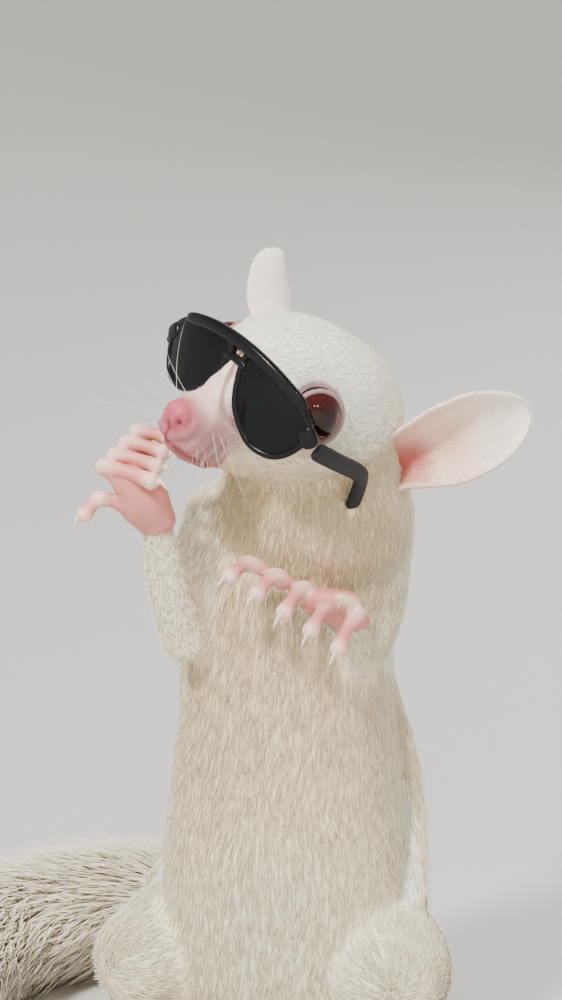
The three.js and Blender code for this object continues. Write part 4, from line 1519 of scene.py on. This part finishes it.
@dataclass
class Sunglasses:
    """Doll-size aviators in the head's frame: a front wrapped on a cylinder, two lenses and two temples."""

    WRAP_X = -24.3
    CURVE = 38.0
    roll: float = math.radians(4.2)
    offset: Triple = (-0.7, 0.0, 1.3)
    outline: tuple[tuple[float, float], ...] = (
        (1.6, 4.8), (5.5, 5.1), (9.2, 4.3), (12.8, 2.7), (15.1, 0.1), (14, -3.3),
        (11.6, -5.6), (8.2, -6), (5.5, -4.6), (3.1, -2.3), (1.9, 0.6),
    )
    centre: tuple[float, float] = (8.2, 0.0)
    rim_width: float = 0.5
    rim_depth: float = 0.62
    skin_gap: float = 1.25
    half_span: float = 18.0
    temple: tuple[Triple, ...] = (
        (9.8, 16.2, -1.8), (4.2, 16.5, -3.6), (-2.2, 16.4, -5.7), (-4.2, 16.2, -7.8), (-5.3, 16, -12.2),
    )

    def tilt(self) -> Array:
        """The turn about the head's x axis that sets the left side high, as rows to multiply by."""
        c, s = math.cos(self.roll), math.sin(self.roll)
        return np.array([[1, 0, 0], [0, c, s], [0, -s, c]])

    def worn(self, points: Array) -> Array:
        """Points of the glasses' own frame in the head's frame."""
        return points @ self.tilt() + np.array(self.offset)

    def wrap(self, flat: Array, lift: Array | float = 0.0) -> Array:
        """The flat pattern's points rolled on the cylinder: x = middle + r cos(s / R), y = r sin(s / R).

        Args:
            flat: rows of s and z.
            lift: how far outside the cylinder they lie.

        Returns:
            Points in the head's frame.
        """
        radius = self.CURVE + lift
        angle = flat[..., 0] / self.CURVE
        x, y = self.WRAP_X + radius * np.cos(angle), radius * np.sin(angle)
        return self.worn(np.stack([x, y, flat[..., 1]], -1))

    def unwrap(self, points: Array) -> tuple[Array, Array, Array]:
        """The flat pattern's s and z and the lift of points of the head's frame, the inverse of wrap."""
        x, y, z = ((points - np.array(self.offset)) @ self.tilt().T).T
        x = x - self.WRAP_X
        return np.arctan2(y, x) * self.CURVE, z, np.hypot(x, y) - self.CURVE

    def middle(self, sign: int) -> Array:
        """The centre of a lens on the flat pattern."""
        return np.array(self.centre) * np.array([sign, 1])

    def arm(self, sign: int, count: int) -> Array:
        """Points of a temple's middle line in the head's frame."""
        path = np.array(self.temple) * np.array([1, sign, 1])
        return self.worn(spline(path, np.linspace(0, 1, count)))

    def outside(self, s: Array, z: Array, sign: int) -> tuple[Array, Array]:
        """How far points of the flat pattern are outside a lens, and the direction from its centre.

        Args:
            s: the places across.
            z: the heights.
            sign: 1 for the left lens and -1 for the right one.

        Returns:
            Distances along the line from the centre, and unit rows of s and z.
        """
        line = self.edge(sign) - self.middle(sign)
        angle, far = np.arctan2(line[:, 1], line[:, 0]), np.linalg.norm(line, axis=1)
        order = np.argsort(angle)
        away = np.stack([s, z], -1) - self.middle(sign)
        turn = np.arctan2(away[:, 1], away[:, 0])
        reach = np.interp(turn, angle[order], far[order], period=2 * math.pi)
        return np.linalg.norm(away, axis=1) - reach, unit(away)

    def clear(self, points: Array) -> Array:
        """Moves skin out of the way of the lenses and rims, away from each lens's centre.

        Args:
            points: places in the head's frame.

        Returns:
            The places after the push, which fades with the distance in front of the glasses.
        """
        s, z, lift = self.unwrap(points)
        for _, sign in SIDES:
            apart, out = self.outside(s, z, sign)
            push = np.clip(self.skin_gap - apart, 0, 3) * smoothstep(-1.9, -1.0, lift)
            push *= 1 - smoothstep(2.5, 6, lift)
            push *= (np.abs(s) < self.half_span) * (np.abs(lift) < 8) * (s * sign > -1)
            s, z = s + push * out[:, 0], z + push * out[:, 1]
        near = (np.abs(lift) < 8) & (np.abs(s) < self.half_span)
        return np.where(near[:, None], self.wrap(np.stack([s, z], -1), lift), points)

    def covers(self, points: Array) -> Array:
        """True where a root of fur would lie under the rims, the lenses or a temple."""
        s, z, lift = self.unwrap(points)
        hidden = np.zeros(len(points), bool)
        for _, sign in SIDES:
            apart, _ = self.outside(s, z, sign)
            hidden |= (apart < 1.0) & (np.abs(lift) < 1.5) & (s * sign > 0)
            near = np.abs(points[:, 1] - 16 * sign) < 4
            gap = np.linalg.norm(points[near][:, None] - self.arm(sign, 24), axis=2).min(1)
            hidden[near] |= gap < 0.8
        return hidden

    def edge(self, sign: int, count: int = 120) -> Array:
        """The outline of a lens on the flat pattern, a closed smooth curve through its few points."""
        points = np.array(self.outline) * np.array([sign, 1])
        looped = np.vstack([points, points, points])
        t = (len(points) + np.arange(count) / count * len(points)) / (len(looped) - 1)
        return spline(looped, t)

    def rim(self, sign: int, sides: int = 16) -> Surface:
        """A bar round a lens: outline + out w cos a, lifted by d sin a, both squared off a little.

        Args:
            sign: 1 for the left lens and -1 for the right one.
            sides: points round the section.

        Returns:
            The closed rim in the row frame.
        """
        line = self.edge(sign)
        tangent = unit(np.roll(line, -1, 0) - np.roll(line, 1, 0))
        out = np.stack([tangent[:, 1], -tangent[:, 0]], -1)
        out *= np.sign(((line - self.middle(sign)) * out).sum(1, keepdims=True))
        wide, deep = squared_off(full_turn(sides), 0.75)
        flat = line[:, None] + (wide * self.rim_width)[None, :, None] * out[:, None]
        points = self.wrap(flat, np.broadcast_to(deep * self.rim_depth, flat.shape[:2]))
        return Surface(HEAD.out(points.reshape(-1, 3)), [grid_faces(len(line), sides, True)]).outward()

    def bar(self, line: Array, tall: Array, thick: Array, sides: int = 16) -> Surface:
        """A bar of squared-off oval section along a line in the head's frame.

        Args:
            line: its middle line.
            tall: half its height at each place.
            thick: half its thickness at each place.
            sides: points round the section.

        Returns:
            The closed bar in the row frame.
        """
        along = unit(np.gradient(line, axis=0))
        rise = np.array([0, 0, 1.0])
        rise = unit(rise - (along @ rise)[:, None] * along)
        across = np.cross(along, rise)
        high, deep = squared_off(full_turn(sides), 0.6)
        rings = line[:, None] + (tall[:, None] * high)[..., None] * rise[:, None]
        rings = rings + (thick[:, None] * deep)[..., None] * across[:, None]
        return capped_on_head(rings)

    def rounded(self, count: int, end: float = 0.08) -> Array:
        """A size that falls to a third at both ends along a quarter circle."""
        t = np.linspace(0, 1, count)
        near = np.clip(np.minimum(t, 1 - t) / end, 0, 1)
        return 0.3 + 0.7 * np.sqrt(1 - (1 - near) ** 2)

    def front(self) -> Surface:
        """Both rims, the brow bar, the bridge and the hinge blocks."""
        s = np.linspace(-13.4, 13.4, 60)
        brow = self.wrap(np.stack([s, 5.8 - 0.017 * s**2], -1))
        b = np.linspace(-2.4, 2.4, 30)
        bridge = self.wrap(np.stack([b, 3.1 + 0.06 * (2.4**2 - b**2)], -1), 0.1)
        parts = [self.rim(1), self.rim(-1)]
        parts.append(self.bar(brow, 0.9 * self.rounded(60), 0.72 * self.rounded(60)))
        parts.append(self.bar(bridge, 0.6 * self.rounded(30), 0.6 * self.rounded(30)))
        block = self.rounded(20, 0.3)
        for _, sign in SIDES:
            t = np.linspace(0, 1, 20)
            corner = np.stack([sign * (14.0 + 2.3 * t), 0.6 - 2.2 * t], -1)
            parts.append(self.bar(self.wrap(corner), 1.3 * block, 0.8 * block))
        return join(parts)

    def lens(self, sign: int) -> Surface:
        """A thin plate that fills its rim and bulges by (1 - u²), u being the share of the way out."""
        line = self.edge(sign, 96)
        middle = self.middle(sign)
        share = np.concatenate([np.linspace(0.02, 1, 12), np.linspace(1, 0.02, 12)])
        half = np.repeat([0.32, -0.32], 12)
        flat = middle + share[:, None, None] * 0.985 * (line - middle)
        lift = half[:, None] + 0.35 * (1 - share[:, None] ** 2)
        return capped_on_head(self.wrap(flat, np.broadcast_to(lift, flat.shape[:2])))

    def build(self, frame_finish: Material, temple_finish: Material, lens_finish: Material) -> None:
        """Places the front, the lenses and the temples.

        Args:
            frame_finish: the gloss black of the front.
            temple_finish: the satin dark grey of the temples.
            lens_finish: the near-black of the lenses.
        """
        front = make_mesh("shades_front", self.front())
        place("shades_front", front, frame_finish, "frame_black", "glasses_front")
        for side, sign in SIDES:
            lens = make_mesh("shades_lens_" + side, self.lens(sign))
            place("shades_lens_" + side, lens, lens_finish, "lens_dark", "lens_" + side)
            size = self.rounded(70, 0.05) * np.linspace(1.08, 0.92, 70)
            arm = self.bar(self.arm(sign, 70), 1.3 * size, 0.62 * size)
            temple = make_mesh("shades_temple_" + side, arm)
            place("shades_temple_" + side, temple, temple_finish, "temple_grey", "temple_" + side)


SHADES = Sunglasses()


@dataclass(frozen=True)
class Lamp:
    """A disk of light, placed in metres right of the eyes, above them and towards the camera."""

    name: str
    right: float
    up: float
    back: float
    size: float
    power: float
    colour: Colour = (1.0, 1.0, 1.0)
    mirrored: bool = False


LAMPS = (
    Lamp("key", -0.34, 0.52, 0.62, 0.10, 14.0, (1.0, 0.97, 0.92), True),
    Lamp("top", -0.1, 0.8, 0.2, 0.6, 8.0, (1.0, 0.99, 0.97)),
    Lamp("fill", 0.6, 0.1, 0.6, 0.6, 4.0, (1.0, 0.98, 0.96)),
    Lamp("spark", 0.34, 0.51, 0.8, 0.05, 1.5, mirrored=True),
    Lamp("glint", 0.16, 0.50, 0.85, 0.03, 0.8, mirrored=True),
    Lamp("back", 0.3, 0.5, -0.5, 0.4, 5.0),
)


@dataclass
class Studio:
    """A pale sweep all round, soft lights, and the camera at the photograph's place."""

    azimuth: float = math.radians(20)
    elevation: float = math.radians(3)
    distance: float = 0.270
    aim: Triple = (-0.0003, 0.0, -0.0165)
    lens: float = 66.1
    sweep_colour: Colour = (0.50, 0.49, 0.47)

    def axes(self) -> tuple[Vector, Vector, Vector]:
        """The camera's right, up and back directions."""
        a, e = self.azimuth, self.elevation
        back = Vector((math.sin(a) * math.cos(e), -math.cos(a) * math.cos(e), math.sin(e)))
        right = Vector((math.cos(a), math.sin(a), 0))
        return right, back.cross(right), back

    def build(self) -> None:
        """Makes the sweep, the lights, the world and the camera."""
        self.sweep()
        right, up, back = self.axes()
        target = Vector(EYE_MIDDLE * MM)
        data = bpy.data.cameras.new("camera")
        data.lens = self.lens
        data.sensor_width = 36
        data.clip_start = 0.01
        camera = bpy.data.objects.new("camera", data)
        bpy.context.scene.collection.objects.link(camera)
        camera.location = target + right * self.aim[0] + up * self.aim[2] + back * self.distance
        camera.rotation_mode = "QUATERNION"
        camera.rotation_quaternion = (-back).to_track_quat("-Z", "Y")
        bpy.context.scene.camera = camera
        for lamp in LAMPS:
            self.light(lamp, target + back * lamp.back + right * lamp.right + up * lamp.up)
        world = bpy.data.worlds.new("world")
        world.use_nodes = True
        background = next(n for n in world.node_tree.nodes if n.type == "BACKGROUND")
        background.inputs["Color"].default_value = (0.9, 0.95, 1.0, 1)
        background.inputs["Strength"].default_value = 0.32
        bpy.context.scene.world = world

    @staticmethod
    def light(lamp: Lamp, at: Vector) -> None:
        """Places an area light that faces the head.

        Args:
            lamp: what it is like.
            at: its place, in metres in the row frame.
        """
        data = bpy.data.lights.new(lamp.name, "AREA")
        data.shape = "DISK"
        data.size = lamp.size
        data.energy = lamp.power
        data.color = lamp.colour
        made = bpy.data.objects.new(lamp.name, data)
        made.visible_glossy = lamp.mirrored
        bpy.context.scene.collection.objects.link(made)
        made.location = at
        made.rotation_mode = "QUATERNION"
        made.rotation_quaternion = (Vector(EYE_MIDDLE * MM) - at).to_track_quat("-Z", "Y")

    def sweep(self) -> None:
        """The floor and the wall as one turned dish: flat, then a quarter circle, then straight up."""
        bend = np.linspace(0, math.pi / 2, 24)
        radius = np.concatenate([[1.0, 180.0], 200 + 1000 * np.sin(bend), [1200]])
        height = np.concatenate([[0.0, 0.0], 1000 * (1 - np.cos(bend)), [2000]])
        turn = full_turn(96)
        x, y = radius[:, None] * np.cos(turn), radius[:, None] * np.sin(turn)
        rings = np.stack([x, y, height[:, None] + 0 * turn], -1)
        made = Surface(rings.reshape(-1, 3), [grid_faces(len(radius), len(turn))])
        mesh = make_mesh("sweep", made)
        shader = Shader("paper")
        shader.set(Base_Color=(*self.sweep_colour, 1), Roughness=0.9)
        mesh.materials.append(shader.material)
        floor = bpy.data.objects.new("sweep", mesh)
        bpy.context.scene.collection.objects.link(floor)


def flesh_nodes() -> list[str]:
    """The CAD nodes that the skin stands for: all but the eyes and the eyewear."""
    worn = ("glasses", "lens", "temple", "eye")
    return sorted(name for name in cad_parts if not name.startswith(worn))


def main() -> None:
    """Builds every piece in turn."""
    logging.basicConfig(level=logging.INFO, format="%(message)s")
    skin = Skin()
    mesh = skin.build()
    ground = skin.dress(mesh)
    place("skin", mesh, SkinFinish().material(), "skin_pink", *flesh_nodes())
    Fur().build(ground, FurFinish().material())
    Eyes().build(EyeFinish().material())
    Claws().build(HornFinish("claw", (0.78, 0.60, 0.50), 0.3).material())
    Whiskers().build(HornFinish("whisker", (0.85, 0.82, 0.74), 0.4).material())
    plastics = (PlasticFinish(kind).material() for kind in (Plastic.FRAME, Plastic.TEMPLE, Plastic.LENS))
    SHADES.build(*plastics)
    Studio().build()


if __name__ == "__main__":
    main()
